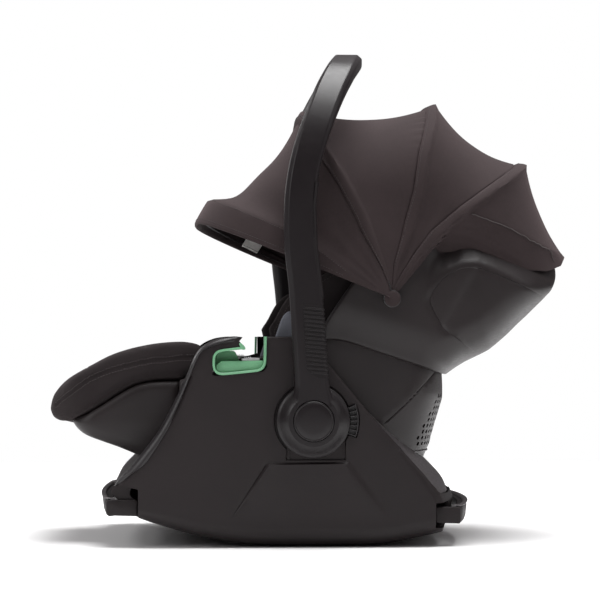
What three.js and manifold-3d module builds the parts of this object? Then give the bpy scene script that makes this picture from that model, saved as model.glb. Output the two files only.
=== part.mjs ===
// Infant car seat: a rocker base with a swinging carry handle, and a reclining seat
// with head shell, folding canopy, headrest and harness.
// Units are millimetres. +X points to the head end, +Z up, and the seat is symmetric about Y = 0.
import * as THREE from 'three';
import Module from 'manifold-3d';
import { mergeVertices } from 'three/addons/utils/BufferGeometryUtils.js';

const wasm = await Module();
wasm.setup();

// ---------------------------------------------------------------- driving dimensions
const GAP = 0.4;                        // clearance between touching pieces
const WALL = 4.5;                       // moulded wall of the base
const SHELL = 4;                        // moulded wall of the seat shells
const BASE_HALF = 190;                  // half width of the base
const HUB = { x: -4, z: 149 };          // carry handle pivot
const HUB_INNER = 195.4;                // inner face of the handle hubs
const HUB_OUTER = 217;                  // outer face of the handle hubs
const HUB_RADIUS = 43;
const BUTTON_RADIUS = 23.4;
const BUTTON_TRAVEL = 4;
const LEG_DEPTH = 21;                   // thickness of the handle legs across the seat
const RECLINE = { x: -4, z: 210 };     // the seat turns about this line
const RECLINE_CLEAR = 179;              // the turning tub stays within this radius
const HOOD = { x: 90, z: 292 };         // canopy pivot
const HOOD_HALF = 181.6;                // outer face of the innermost canopy bow
const HOOD_RADIUS = 236;                // outer radius of the innermost canopy bow
const HOOD_STEP_Y = 3.2;                // each bow lies this much outside the one behind it
const HOOD_STEP_R = 4.6;
const BOW_ANGLES = [44, 77, 116, 157];  // rear, middle, front and visor bows, from +X
const HOOD_REAR_ANGLE = 16;             // rear edge of the canopy
const TUB_HALF = 166;                   // half width of the seat tub
const HEAD_HALF = 178;                  // half width of the head shell
const BACK_SLOPE = 38;                  // angle of the backrest in degrees
const STRAP = 1.6;                      // thickness of the webbing

// ---------------------------------------------------------------- materials
const MATERIALS = {
  base_plastic: { color: 0x2f2d2e, roughness: 0.55 },
  shell_plastic: { color: 0x353335, roughness: 0.5 },
  handle_plastic: { color: 0x2b2a2c, roughness: 0.45 },
  soft_grip: { color: 0x232224, roughness: 0.8 },
  guide_green: { color: 0x6fa57d, roughness: 0.5 },
  canopy_fabric: { color: 0x2c2524, roughness: 0.95 },
  seat_fabric: { color: 0x262122, roughness: 0.95 },
  insert_fabric: { color: 0x62666e, roughness: 0.95 },
  webbing: { color: 0x1d1c1d, roughness: 0.9 },
  buckle_red: { color: 0xa5241f, roughness: 0.45 },
  steel: { color: 0x9a9b9d, roughness: 0.35, metalness: 1 },
  rubber: { color: 0x1b1b1b, roughness: 0.9 },
};

const seat = new THREE.Group();

function piece(name, slot, geometry) {
  const mesh = new THREE.Mesh(geometry, new THREE.MeshStandardMaterial(MATERIALS[slot]));
  mesh.name = name;
  seat.add(mesh);
  return mesh;
}

// ---------------------------------------------------------------- shape helpers
const radians = THREE.MathUtils.degToRad;

function shapeOf(points) {
  return new THREE.Shape(points.map(([a, b]) => new THREE.Vector2(a, b)));
}

function prism(points, depth) {
  return new THREE.ExtrudeGeometry(shapeOf(points), { depth, bevelEnabled: false });
}

// an outline in X and Z, from y0 to y1
function alongY(points, y0, y1) {
  return prism(points, y1 - y0).rotateX(Math.PI / 2).translate(0, y1, 0);
}

// an outline in X and Y, from z0 to z1
function alongZ(points, z0, z1) {
  return prism(points, z1 - z0).translate(0, 0, z0);
}

// a round bar along Y
function roundY(radius, y0, y1, x, z, sides = 32) {
  return new THREE.CylinderGeometry(radius, radius, y1 - y0, sides).translate(x, (y0 + y1) / 2, z);
}

function smooth(points, steps) {
  const curve = new THREE.SplineCurve(points.map(([a, b]) => new THREE.Vector2(a, b)));
  return curve.getPoints(steps).map((p) => [p.x, p.y]);
}

function arc(cx, cz, radius, from, to, steps) {
  return Array.from({ length: steps + 1 }, (_, i) => {
    const a = radians(from + ((to - from) * i) / steps);
    return [cx + radius * Math.cos(a), cz + radius * Math.sin(a)];
  });
}

function rounded(points, radius, steps = 3) {
  return points.flatMap((p, i) => {
    const before = points[(i + points.length - 1) % points.length];
    const after = points[(i + 1) % points.length];
    const toward = (q) => {
      const length = Math.hypot(q[0] - p[0], q[1] - p[1]);
      const r = Math.min(radius, length / 2.2);
      return [p[0] + ((q[0] - p[0]) * r) / length, p[1] + ((q[1] - p[1]) * r) / length];
    };
    const a = toward(before);
    const b = toward(after);
    return Array.from({ length: steps + 1 }, (_, k) => {
      const t = k / steps;
      const mix = (m) => (1 - t) ** 2 * a[m] + 2 * t * (1 - t) * p[m] + t * t * b[m];
      return [mix(0), mix(1)];
    });
  });
}

// a closed solid through rings of points, each ring with the same number of points
function loft(rings) {
  const count = rings[0].length;
  const positions = rings.flat(2);
  const index = [];
  const at = (ring, k) => ring * count + (k % count);
  for (let r = 0; r < rings.length - 1; r++) {
    for (let k = 0; k < count; k++) {
      index.push(at(r, k), at(r, k + 1), at(r + 1, k + 1));
      index.push(at(r, k), at(r + 1, k + 1), at(r + 1, k));
    }
  }
  for (const r of [0, rings.length - 1]) {
    const flat = flatten(rings[r]);
    const turn = Math.sign(THREE.ShapeUtils.area(flat)) * (r === 0 ? -1 : 1);
    for (const [a, b, c] of THREE.ShapeUtils.triangulateShape(flat, [])) {
      const same = Math.sign(THREE.ShapeUtils.area([flat[a], flat[b], flat[c]])) === turn;
      index.push(at(r, a), at(r, same ? b : c), at(r, same ? c : b));
    }
  }
  const geometry = new THREE.BufferGeometry();
  geometry.setAttribute('position', new THREE.Float32BufferAttribute(positions, 3));
  geometry.setIndex(index);
  if (volume(geometry) < 0) {
    for (let i = 0; i < index.length; i += 3) [index[i], index[i + 1]] = [index[i + 1], index[i]];
    geometry.setIndex(index);
  }
  geometry.computeVertexNormals();
  return geometry;
}

// a ring seen along its own normal
function flatten(ring) {
  const normal = [0, 0, 0];
  ring.forEach((p, k) => {
    const q = ring[(k + 1) % ring.length];
    normal[0] += (p[1] - q[1]) * (p[2] + q[2]);
    normal[1] += (p[2] - q[2]) * (p[0] + q[0]);
    normal[2] += (p[0] - q[0]) * (p[1] + q[1]);
  });
  const size = normal.map(Math.abs);
  const drop = size.indexOf(Math.max(...size));
  const [u, v] = [0, 1, 2].filter((axis) => axis !== drop);
  return ring.map((p) => new THREE.Vector2(p[u], p[v]));
}

function volume(geometry) {
  const p = geometry.attributes.position;
  const i = geometry.index;
  const [a, b, c] = [new THREE.Vector3(), new THREE.Vector3(), new THREE.Vector3()];
  let total = 0;
  for (let k = 0; k < i.count; k += 3) {
    a.fromBufferAttribute(p, i.getX(k));
    b.fromBufferAttribute(p, i.getX(k + 1));
    c.fromBufferAttribute(p, i.getX(k + 2));
    total += a.dot(b.cross(c));
  }
  return total;
}

function solid(geometry) {
  const bare = geometry.clone();
  bare.deleteAttribute('normal');
  bare.deleteAttribute('uv');
  const merged = mergeVertices(bare, 1e-3);
  return new wasm.Manifold(new wasm.Mesh({
    numProp: 3,
    vertProperties: new Float32Array(merged.attributes.position.array),
    triVerts: new Uint32Array(merged.index.array),
  }));
}

function geometryOf(body) {
  const mesh = body.getMesh();
  const geometry = new THREE.BufferGeometry();
  geometry.setAttribute('position', new THREE.BufferAttribute(mesh.vertProperties, 3));
  geometry.setIndex(new THREE.BufferAttribute(mesh.triVerts, 1));
  geometry.computeVertexNormals();
  return geometry;
}

const cut = (from, ...tools) => tools.reduce((body, tool) => body.subtract(solid(tool)), from);
const join = (first, ...others) => others.reduce((body, other) => body.add(solid(other)), first);

// a side outline swept across the seat: bend(point, u) shifts each point, u = |y| / half
function acrossY(outline, half, stations, bend) {
  const ys = [...stations.map((s) => -s * half), ...stations.slice(0, -1).reverse().map((s) => s * half)];
  return loft(ys.map((y) => outline.map((p) => {
    const [x, z] = bend(p, Math.abs(y) / half);
    return [x, y, z];
  })));
}

// mirrored pairs: side is -1 on the right of the seated child, +1 on the left
const SIDES = [[-1, 'right'], [1, 'left']];
const spanY = (side, inner, outer) => (side < 0 ? [-outer, -inner] : [inner, outer]);
const turned = (x, z, angle, [a, b]) => [
  x + a * Math.cos(radians(angle)) - b * Math.sin(radians(angle)),
  z + a * Math.sin(radians(angle)) + b * Math.cos(radians(angle)),
];

// ---------------------------------------------------------------- rocker base
const BASE_BOTTOM = [[148, 16], [112, 8], [78, 0], [-66, 0], [-110, 6], [-150, 15], [-190, 27],
  [-226, 40]];
const BASE_FRONT = [[-228, 56], [-240, 62], [-240, 67], [-231, 81], [-214, 98], [-191, 127], [-170, 160],
  [-151, 201], [-135, 238]];
const BASE_TOP = [[-113, 250], [-94, 252], [-60, 248], [-13, 247]];
const BASE_REAR = [[10, 221], [34, 192], [78, 139], [109, 106], [133, 80], [147, 57], [150, 34]];
const STATIONS = [1, 0.985, 0.95, 0.88, 0.75, 0.5, 0.25, 0];

// the ends of the base bulge towards the middle and its bottom edges are rounded
function baseBend([x, z], u) {
  const rear = THREE.MathUtils.smoothstep(x, 40, 140) * 31 * (1 - u * u);
  const tuck = z < 60 ? 26 * Math.max(0, (u - 0.8) / 0.2) ** 2 * (1 - z / 60) : 0;
  const pinch = u > 0.94 ? ((u - 0.94) / 0.06) ** 2 : 0;
  const ends = pinch * (x < -150 ? 10 : x > 100 ? -10 : 0);
  return [x + rear + ends, z + tuck];
}

const baseOutline = [...BASE_BOTTOM, ...BASE_FRONT, ...BASE_TOP, ...BASE_REAR];
const cavityOutline = [
  [143, 21], [112, 13], [78, 5], [-66, 5], [-110, 11], [-150, 20], [-190, 32], [-222, 45],
  [-235, 58], [-235, 300], [-60, 300], [30, 300], [142, 300], [145, 34],
];
// the seat belt lies in a hooked slot in each side wall
const beltSlot = rounded([[-120.5, 206], [-59, 206], [-59, 262], [-80, 262], [-82.5, 236.5],
  [-120.5, 231.5]], 2);
// under the end bars the base is set back
const footPocket = [[-260, 20], [-208, 20], [-208, 70], [-226, 74], [-260, 74]];
const headPocket = [[141, 26], [230, 26], [230, 57], [141, 57]];

function baseShell() {
  const outer = solid(acrossY(baseOutline, BASE_HALF, STATIONS, baseBend));
  const inner = acrossY(cavityOutline, BASE_HALF - WALL, STATIONS, baseBend);
  const pockets = SIDES.flatMap(([side]) => [
    alongY(beltSlot, ...spanY(side, 150, 230)),
    alongY(footPocket, ...spanY(side, 146, 230)),
    alongY(headPocket, ...spanY(side, 146, 230)),
    roundY(5.2, ...spanY(side, 150, 230), HUB.x, HUB.z, 24),
  ]);
  return cut(outer, inner, ...pockets);
}
piece('base_shell', 'base_plastic', geometryOf(baseShell()));

// the dark trim that closes the gap between base and seat back
function rearDeck() {
  const outline = (u) => {
    const top = [63 + 70 * (1 - u * u), 150 - 30 * (1 - u * u)];
    return [[...top], [126 + 8 * (1 - u * u), 80 + 14 * (1 - u * u)], [137, 60], [137, 55], [122, 74],
      [top[0] - 3, top[1] - 8]];
  };
  const ys = [-184.8, -175, -160, -120, -60, 0, 60, 120, 160, 175, 184.8];
  return loft(ys.map((y) => outline(Math.abs(y) / BASE_HALF).map((p) => {
    const [x, z] = baseBend(p, Math.abs(y) / BASE_HALF);
    return [x, y, z];
  })));
}
piece('rear_deck', 'shell_plastic',
  geometryOf(cut(solid(rearDeck()),
    roundY(RECLINE_CLEAR, -TUB_HALF - 2, TUB_HALF + 2, RECLINE.x, RECLINE.z, 72))));

// bars at the ends lock into the car base or stroller
function endBar(xs, z0, z1, sag) {
  const [wall, face] = xs;
  const way = Math.sign(face - wall);
  const half = 178;
  const line = (x0, y0, bow) => Array.from({ length: 13 }, (_, i) => {
    const y = -y0 + (2 * y0 * i) / 12;
    return [x0 + way * bow * (1 - (y / y0) ** 2), y];
  });
  const outer = line(face, half, sag);
  const inner = line(face - way * 11, half - 15, sag).reverse();
  const plan = [[wall, -half], ...outer, [wall, half], [wall, half - 15], ...inner, [wall, -half + 15]];
  return alongZ(plan, z0, z1);
}
piece('foot_bar', 'base_plastic', endBar([-208.6, -247], 36, 56, 8));
piece('head_bar', 'base_plastic', endBar([141.5, 176], 30, 53, 26));

function barLip(face, z0, z1, sag) {
  const way = Math.sign(face);
  const half = 174;
  const line = (x0) => Array.from({ length: 13 }, (_, i) => {
    const y = -half + (2 * half * i) / 12;
    return [x0 + way * sag * (1 - (y / half) ** 2), y];
  });
  return alongZ([...line(face), ...line(face - way * 5).reverse()], z0, z1);
}
piece('foot_bar_lip', 'handle_plastic', barLip(-247.4, 56 + GAP, 67, 8));
piece('head_bar_lip', 'handle_plastic', barLip(175.6, 53 + GAP, 62, 26));

// green guide that lines the belt slot
function beltGuide(side) {
  const frame = rounded([[-120, 206.5], [-59.5, 206.5], [-59.5, 247], [-64.5, 247], [-64.5, 221],
    [-70, 215.5], [-114, 219], [-114, 229], [-84, 233.5], [-84, 236], [-120, 231]], 2.5, 2);
  return alongY(frame, ...spanY(side, 168, 191.5));
}

// clamp that grips the belt in the guide
const clampOutline = [[-96, 219.6], [-72, 218], [-72, 222], [-96, 224]];

// trim along the foot-end edge of each side wall
const rimOutline = [
  [-236, 70], [-229, 83], [-212, 100], [-189, 129], [-168, 162], [-149, 203], [-132, 237],
  [-121, 237], [-137, 199], [-156, 156], [-178, 120], [-203, 91], [-221, 74],
];

// hub mounts carry the handle; index combs show its locking positions
function hubMount(side) {
  const [y0, y1] = spanY(side, BASE_HALF + GAP, HUB_INNER - GAP);
  const plate = solid(alongY([[HUB.x - 43, 152], [HUB.x - 31, 119], [HUB.x - 31, 103],
    [HUB.x + 38, 103], [HUB.x + 38, 119], ...arc(HUB.x, HUB.z, HUB_RADIUS, -35, 35, 6),
    [HUB.x + 20, 190], [HUB.x - 20, 190]], y0, y1));
  return geometryOf(cut(plate, roundY(5.2, y0 - 1, y1 + 1, HUB.x, HUB.z, 24)));
}

function indexComb(side) {
  const inner = HUB_RADIUS + 1;
  const outer = HUB_RADIUS + 10;
  const half = 21;
  const base = [...arc(HUB.x, HUB.z, outer, -half, half, 8), ...arc(HUB.x, HUB.z, inner, half, -half, 8)];
  const body = solid(alongY(base, ...spanY(side, BASE_HALF + GAP, BASE_HALF + 2.4)));
  const ribs = Array.from({ length: 7 }, (_, i) => {
    const a = -half + 1.2 + ((2 * half - 2.4) * i) / 6;
    const rib = [...arc(HUB.x, HUB.z, outer, a - 1.1, a + 1.1, 1),
      ...arc(HUB.x, HUB.z, inner, a + 1.1, a - 1.1, 1)];
    return alongY(rib, ...spanY(side, BASE_HALF + 1.4, HUB_INNER - 0.2));
  });
  return geometryOf(join(body, ...ribs));
}

for (const [side, name] of SIDES) {
  piece(`belt_guide_${name}`, 'guide_green', beltGuide(side));
  piece(`belt_clamp_${name}`, 'steel', alongY(clampOutline, ...spanY(side, 170, 188)));
  piece(`foot_rim_${name}`, 'base_plastic',
    alongY(rimOutline, ...spanY(side, BASE_HALF + GAP, BASE_HALF + 2.6)));
  piece(`hub_mount_${name}`, 'base_plastic', hubMount(side));
  piece(`index_comb_${name}`, 'handle_plastic', indexComb(side));
  const bolt = solid(roundY(4.8, ...spanY(side, 180, 199), HUB.x, HUB.z, 20));
  piece(`handle_bolt_${name}`, 'steel',
    geometryOf(join(bolt, roundY(10, ...spanY(side, 177, 180.5), HUB.x, HUB.z, 6))));
}

// ---------------------------------------------------------------- carry handle
// centre line of one half of the handle, from the hub to the middle of the grip
const HANDLE_PATH = [
  [-5, 206.5, 176], [-9, 206.5, 235], [-13, 206.5, 300], [-19, 206.5, 352], [-20, 206.2, 400],
  [-16, 204.5, 437],
  [-8, 200.5, 470], [4, 190.5, 504], [18, 171, 537], [32, 139, 563], [41, 98, 577.5],
  [46.5, 49, 585], [48, 0, 587],
];

function handleArch() {
  const half = new THREE.CatmullRomCurve3(HANDLE_PATH.map(([x, y, z]) => new THREE.Vector3(x, y, z)));
  const centre = half.getPoints(22).map((p) => [p.x, p.y, p.z]);
  const whole = [...centre.map(([x, y, z]) => [x, -y, z]), ...centre.slice(0, -1).reverse()];
  return loft(whole.map((p, i) => handleRing(p, whole[Math.min(i + 1, whole.length - 1)],
    whole[Math.max(i - 1, 0)])));
}

// a flattened section: deep along X, thin across the leg
function handleRing(p, next, last, wide = 18, deep = LEG_DEPTH / 2) {
  const along = new THREE.Vector3(next[0] - last[0], next[1] - last[1], next[2] - last[2]).normalize();
  const out = new THREE.Vector3(0, along.z, -along.y).normalize();
  const side = new THREE.Vector3().crossVectors(out, along).normalize();
  const section = [[-1, -0.45], [-0.72, -1], [0.72, -1], [1, -0.6], [1, 0.6], [0.72, 1], [-0.5, 1],
    [-1, 0.3]];
  return section.map(([a, b]) => {
    const q = new THREE.Vector3(...p).addScaledVector(side, a * wide).addScaledVector(out, -b * deep);
    return [q.x, q.y, q.z];
  });
}

function handleHub(side) {
  const disc = solid(roundY(HUB_RADIUS, ...spanY(side, HUB_INNER, HUB_OUTER), HUB.x, HUB.z, 48));
  const neck = alongY([[HUB.x - 20, 170], [HUB.x + 17, 170], [HUB.x + 16, 196], [HUB.x - 21, 196]],
    ...spanY(side, HUB_INNER + 0.5, HUB_OUTER - 1));
  const socket = roundY(BUTTON_RADIUS + 0.4, ...spanY(side, 200, HUB_OUTER + 5), HUB.x, HUB.z, 40);
  const bore = roundY(5.2, ...spanY(side, 190, 202), HUB.x, HUB.z, 24);
  return { disc, neck, socket, bore };
}

let arch = solid(handleArch());
for (const [side] of SIDES) {
  const { disc, neck, socket, bore } = handleHub(side);
  arch = cut(arch.add(join(disc, neck)), socket, bore);
}
piece('handle_arch', 'handle_plastic', geometryOf(arch));

for (const [side, name] of SIDES) {
  // the button is a cap over its return spring
  const cap = solid(roundY(BUTTON_RADIUS, ...spanY(side, HUB_OUTER - 8.4, HUB_OUTER + 1.6), HUB.x, HUB.z,
    40));
  piece(`handle_button_${name}`, 'handle_plastic',
    geometryOf(cut(cap, roundY(18, ...spanY(side, 200, HUB_OUTER - 1.4), HUB.x, HUB.z, 32))));
  const spring = solid(roundY(12, ...spanY(side, 200.5, HUB_OUTER - BUTTON_TRAVEL - 3), HUB.x, HUB.z, 24));
  piece(`button_spring_${name}`, 'steel',
    geometryOf(cut(spring, roundY(9.5, ...spanY(side, 195, 215), HUB.x, HUB.z, 24))));
  // ribbed thumb grips sit on the outer face of each leg
  const ribs = Array.from({ length: 12 }, (_, i) => {
    const z = 210 + i * 6;
    return alongY([[-9.4 - i * 0.32, z], [6.6 - i * 0.32, z], [6.6 - i * 0.32, z + 3.4],
      [-9.4 - i * 0.32, z + 3.4]],
      ...spanY(side, HUB_OUTER + 1.2, HUB_OUTER + 3));
  });
  const pad = solid(alongY(rounded([[-9.4, 203], [6.6, 203], [2.6, 288], [-13.4, 288]], 3),
    ...spanY(side, HUB_OUTER + GAP, HUB_OUTER + 1.6)));
  piece(`thumb_grip_${name}`, 'soft_grip', geometryOf(join(pad, ...ribs)));
}

// ---------------------------------------------------------------- reclining seat shells
// the sides of the shells are rounded, and the foot end is narrower than the tub
function shellBend(narrow) {
  return ([x, z], u) => {
    const round = u > 0.9 ? ((u - 0.9) / 0.1) ** 2 * 6 : 0;
    return [x, z + round * narrow(x, z)];
  };
}
const rises = shellBend((x, z) => (z < 190 ? 1 : 0));

const FOOT_UNDER = [[-160.5, 79], [-190, 97], [-227, 114], [-256, 124], [-274, 131], [-284, 140],
  [-289, 148]];
const FOOT_TOP = [[-286, 150.5], [-261, 164], [-232, 182], [-214, 191.5], [-195, 196.5], [-160.5, 197]];
const FOOT_HALF = 138;
const footBend = ([x, z], u) => {
  const height = z < 145 ? rises([x, z], u)[1] : z;
  const tip = THREE.MathUtils.clamp((-262 - x) / 27, 0, 1.4);
  return [x + 12 * tip * Math.max(0, (u - 0.6) / 0.4) ** 2, height];
};
const SEAT_STATIONS = [1, 0.96, 0.9, 0.6, 0];

function footShell() {
  const outer = solid(acrossY([...FOOT_UNDER, ...FOOT_TOP], FOOT_HALF, SEAT_STATIONS, footBend));
  const inner = [[-150, 76 + SHELL], [-188, 98 + SHELL], [-226, 115 + SHELL], [-254, 125 + SHELL],
    [-270, 131.5 + SHELL], [-279, 140 + SHELL], [-281, 300], [-150, 300]];
  return cut(outer, acrossY(inner, FOOT_HALF - SHELL, SEAT_STATIONS, footBend));
}
piece('foot_shell', 'shell_plastic', geometryOf(footShell()));

const TUB_UNDER = [[143, 111], [108, 75], [60, 51], [0, 42], [-50, 44], [-100, 52], [-160, 78]];
const TUB_TOP = [[-160, 196], [-100, 214], [-30, 234], [28, 243], [76, 226], [144, 205], [163, 200]];
const TUB_BACK = [[160, 173], [152, 143]];

function seatTub() {
  const outer = solid(acrossY([...TUB_UNDER, ...TUB_TOP, ...TUB_BACK], TUB_HALF, SEAT_STATIONS, rises));
  const inner = [[138, 113], [105, 80], [58, 55.5], [0, 46.5], [-50, 48.5], [-99, 56.5], [-156, 81],
    [-156, 400], [165, 400], [158.5, 200], [155.5, 174], [147.5, 144]];
  const channel = alongY([[-170, 84], [-150, 84], [-150, 300], [-170, 300]], -FOOT_HALF + SHELL,
    FOOT_HALF - SHELL);
  return cut(outer, acrossY(inner, TUB_HALF - SHELL, SEAT_STATIONS, rises), channel);
}

// cooling holes in the back of the tub, and the recess of the release handle above them
const VENT_ROWS = 7;
const VENT_PITCH = 9;
const BACK_LEAN = 72;                   // angle of the back cover in degrees

function ventHoles() {
  return Array.from({ length: VENT_ROWS }, (_, row) => {
    const along = 12 + row * VENT_PITCH;
    const x = 143 + along * Math.cos(radians(BACK_LEAN));
    const z = 111 + along * Math.sin(radians(BACK_LEAN));
    const count = 10;
    return Array.from({ length: count }, (_, k) => {
      const y = (k - (count - 1) / 2 + (row % 2 ? 0.5 : 0)) * 13;
      return new THREE.CylinderGeometry(3.2, 3.2, 30, 6).rotateZ(Math.PI / 2)
        .rotateY(radians(90 - BACK_LEAN)).translate(x, y, z);
    });
  }).flat();
}
const releaseSlot = alongY([[130, 178], [190, 178], [190, 196], [130, 196]], -42, 42);
piece('seat_tub', 'shell_plastic', geometryOf(cut(seatTub(), ...ventHoles(), releaseSlot)));

// pull handle in the back that frees the seat from the car base
function releaseHandle() {
  const grip = alongY([[148, 178.6], [158.5, 178.6], [160, 184], [148, 184]], -40, 40);
  const arms = [-30, 30].map((y) => alongY([[146.2, 158], [149, 158], [149, 183.5], [146.2, 183.5]],
    y - 5, y + 5));
  return geometryOf(join(solid(grip), ...arms));
}

const HEAD_FRONT = [[0, 240.8], [0.5, 247], [12, 266], [29, 291], [43, 311], [66, 338], [100, 362],
  [150, 377], [200, 380], [255, 368], [298, 336]];
const HEAD_BACK = [[297, 322], [293, 312], [284, 297], [263, 273], [239, 250], [215, 229], [187, 216],
  [172, 207]];
const HEAD_UNDER = [[164, 201], [144, 206], [76, 227.5], [28, 244.6]];

// a round-shouldered drum about the canopy pivot: what lies inside it clears the folding canopy
const HOOD_CORNER = 121;
function archCorner(half, radius, corner) {
  return Array.from({ length: 7 }, (_, k) => {
    const a = radians(15 * k);
    return [radius - corner * (1 - Math.sin(a)), half - corner * (1 - Math.cos(a))];
  });
}
function drum(half, radius) {
  const side = archCorner(half, radius, HOOD_CORNER - 4);
  const profile = [[0, -half], ...side.map(([r, y]) => [r, -y]), ...side.reverse(), [0, half]];
  return solid(new THREE.LatheGeometry(profile.map(([r, y]) => new THREE.Vector2(r, y)), 72)
    .translate(HOOD.x, 0, HOOD.z));
}

function headShell() {
  const block = acrossY([...HEAD_FRONT, ...HEAD_BACK, ...HEAD_UNDER], HEAD_HALF, SEAT_STATIONS, (p) => p);
  const outer = solid(block).intersect(drum(HEAD_HALF, HOOD_RADIUS - 5));
  const inner = [[158, 190], [161, 210], [168, 214], [184, 222], [212, 235], [235, 255.5], [258, 278],
    [279, 302], [288, 316], [292, 400], [-40, 400], [-40, 190]];
  const hollow = solid(alongY(inner, -HEAD_HALF + SHELL, HEAD_HALF - SHELL));
  return outer.subtract(hollow.intersect(drum(HEAD_HALF - SHELL, HOOD_RADIUS - 5 - SHELL)));
}
piece('head_shell', 'shell_plastic', geometryOf(headShell()));

// ---------------------------------------------------------------- cushions
const backPoint = (along, off) => turned(60, 150, BACK_SLOPE, [along, off]);

const legPad = [
  ...smooth([[-318.5, 158], [-313.5, 177], [-296, 196], [-266, 213], [-235, 228], [-197, 238],
    [-158, 241], [-133, 238]], 14),
  [-118, 228], [-112, 216], [-150, 203.5], [-180, 199.3], [-197, 198.8], [-215.5, 193.8], [-233.5, 184.3],
  [-262.3, 166.3], [-287.5, 152.8], [-292, 146], [-299, 142], [-312, 145],
];
piece('leg_pad', 'seat_fabric', acrossY(legPad, 146, SEAT_STATIONS,
  ([x, z], u) => [
    x + 26 * Math.max(0, (u - 0.6) / 0.4) ** 2 * THREE.MathUtils.clamp((-285 - x) / 40, 0, 1),
    z - (z > 209 ? Math.max(0, u - 0.9) * 60 : 0),
  ]));

const seatPad = [[-110, 213], [-78, 168], [-40, 134], [0, 122], [36, 128], [62, 146],
  [75, 130], [44, 104], [0, 96], [-48, 108], [-92, 146], [-121, 192]];
piece('seat_cushion', 'seat_fabric', alongY(seatPad, -152, 152));

const backPad = [backPoint(6, 0), backPoint(60, 3), backPoint(140, 5), backPoint(225, 2),
  backPoint(252, 4),
  backPoint(250, -15), backPoint(140, -12), backPoint(100, -12), backPoint(60, -20), backPoint(16, -19)];
piece('back_cushion', 'seat_fabric', alongY(backPad, -140, 140));

// padded side wings, proud of the base in front of the handle
const wing = [...smooth([[-70, 232], [-62, 252], [-52, 268], [-40, 290], [-27, 304]], 8),
  ...smooth([[10, 328], [60, 348], [120, 361], [200, 362], [246, 352]], 8),
  [268, 330], [232, 300], [150, 238], [68, 172], [28, 158], [-30, 170], [-66, 204]];

// blue-grey wing of the newborn insert, just outside the padded wings
const insertWing = [[-62, 206], [-47, 250], [-40, 272], [-32, 281], [-24, 282], [-16, 262], [-20, 214]];

for (const [side, name] of SIDES) {
  piece(`side_wing_${name}`, 'seat_fabric',
    geometryOf(solid(alongY(wing, ...spanY(side, 127, 145.5))).intersect(drum(HEAD_HALF - SHELL - 1.5,
      HOOD_RADIUS - 12))));
  piece(`insert_wing_${name}`, 'insert_fabric', alongY(insertWing, ...spanY(side, 147, 161)));
}

// headrest slides up the backrest
const HEADREST = { from: 132, to: 222 };
function headrestBoard() {
  const board = [backPoint(HEADREST.from, 9), backPoint(HEADREST.to, 9), backPoint(HEADREST.to, 12.5),
    backPoint(HEADREST.from, 12.5)];
  return alongY(board, -104, 104);
}
function headrestPad() {
  const middle = [backPoint(HEADREST.from, 13), backPoint(HEADREST.to + 4, 13),
    backPoint(HEADREST.to, 26), backPoint(HEADREST.from + 6, 28)];
  const cheek = [backPoint(HEADREST.from, 13), backPoint(HEADREST.to + 4, 13),
    backPoint(HEADREST.to - 8, 74), backPoint(HEADREST.from + 22, 78)];
  const cheeks = SIDES.map(([side]) => alongY(cheek, ...spanY(side, 84, 106)));
  return geometryOf(join(solid(alongY(middle, -90, 90)), ...cheeks));
}
piece('headrest_board', 'shell_plastic', headrestBoard());
piece('headrest_pad', 'seat_fabric', headrestPad());

// ---------------------------------------------------------------- harness
// a flat strap along a side line, its lower face on the line
function strap(line, y0, y1) {
  const offset = line.map((p, i) => {
    const a = line[Math.max(i - 1, 0)];
    const b = line[Math.min(i + 1, line.length - 1)];
    const length = Math.hypot(b[0] - a[0], b[1] - a[1]);
    return [p[0] - ((b[1] - a[1]) / length) * STRAP, p[1] + ((b[0] - a[0]) / length) * STRAP];
  });
  return alongY([...line, ...offset.reverse()], y0, y1);
}

const BUCKLE = { x: -12, z: 152, tilt: -62 };
const buckleBox = (a0, a1, b0, b1) => [[a0, b0], [a1, b0], [a1, b1], [a0, b1]]
  .map((p) => turned(BUCKLE.x, BUCKLE.z, BUCKLE.tilt, p));
const shoulderLine = smooth([turned(BUCKLE.x, BUCKLE.z, BUCKLE.tilt, [-8, 27]), [26, 154], [66, 164],
  backPoint(62, 9), backPoint(124, 8)], 16);

function buckle() {
  const body = solid(alongY(rounded(buckleBox(-9, 9, -22, 24), 3, 2), -24, 24));
  return geometryOf(cut(body, alongY(buckleBox(-20, -1, -15, 5), -9.6, 9.6)));
}
piece('harness_buckle', 'handle_plastic', buckle());
piece('buckle_button', 'buckle_red', alongY(buckleBox(-10, -5.4, -14.4, 4.4), -9, 9));
piece('crotch_strap', 'webbing', strap([[-38, 134.8], [-33.6, 140.4]], -16, 16));
for (const [side, name] of SIDES) {
  piece(`shoulder_strap_${name}`, 'webbing', strap(shoulderLine, ...spanY(side, 6, 31)));
  const chest = [turned(66, 164, 18, [-6, 3]), backPoint(60, 12.6), backPoint(108, 12.4),
    backPoint(106, 19), backPoint(58, 20),
    turned(66, 164, 18, [-8, 9])];
  piece(`shoulder_pad_${name}`, 'insert_fabric', alongY(chest, ...spanY(side, 4, 34)));
}
piece('crotch_pad', 'insert_fabric', alongY(buckleBox(9.6, 13, -14, 22), -22, 22));

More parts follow.
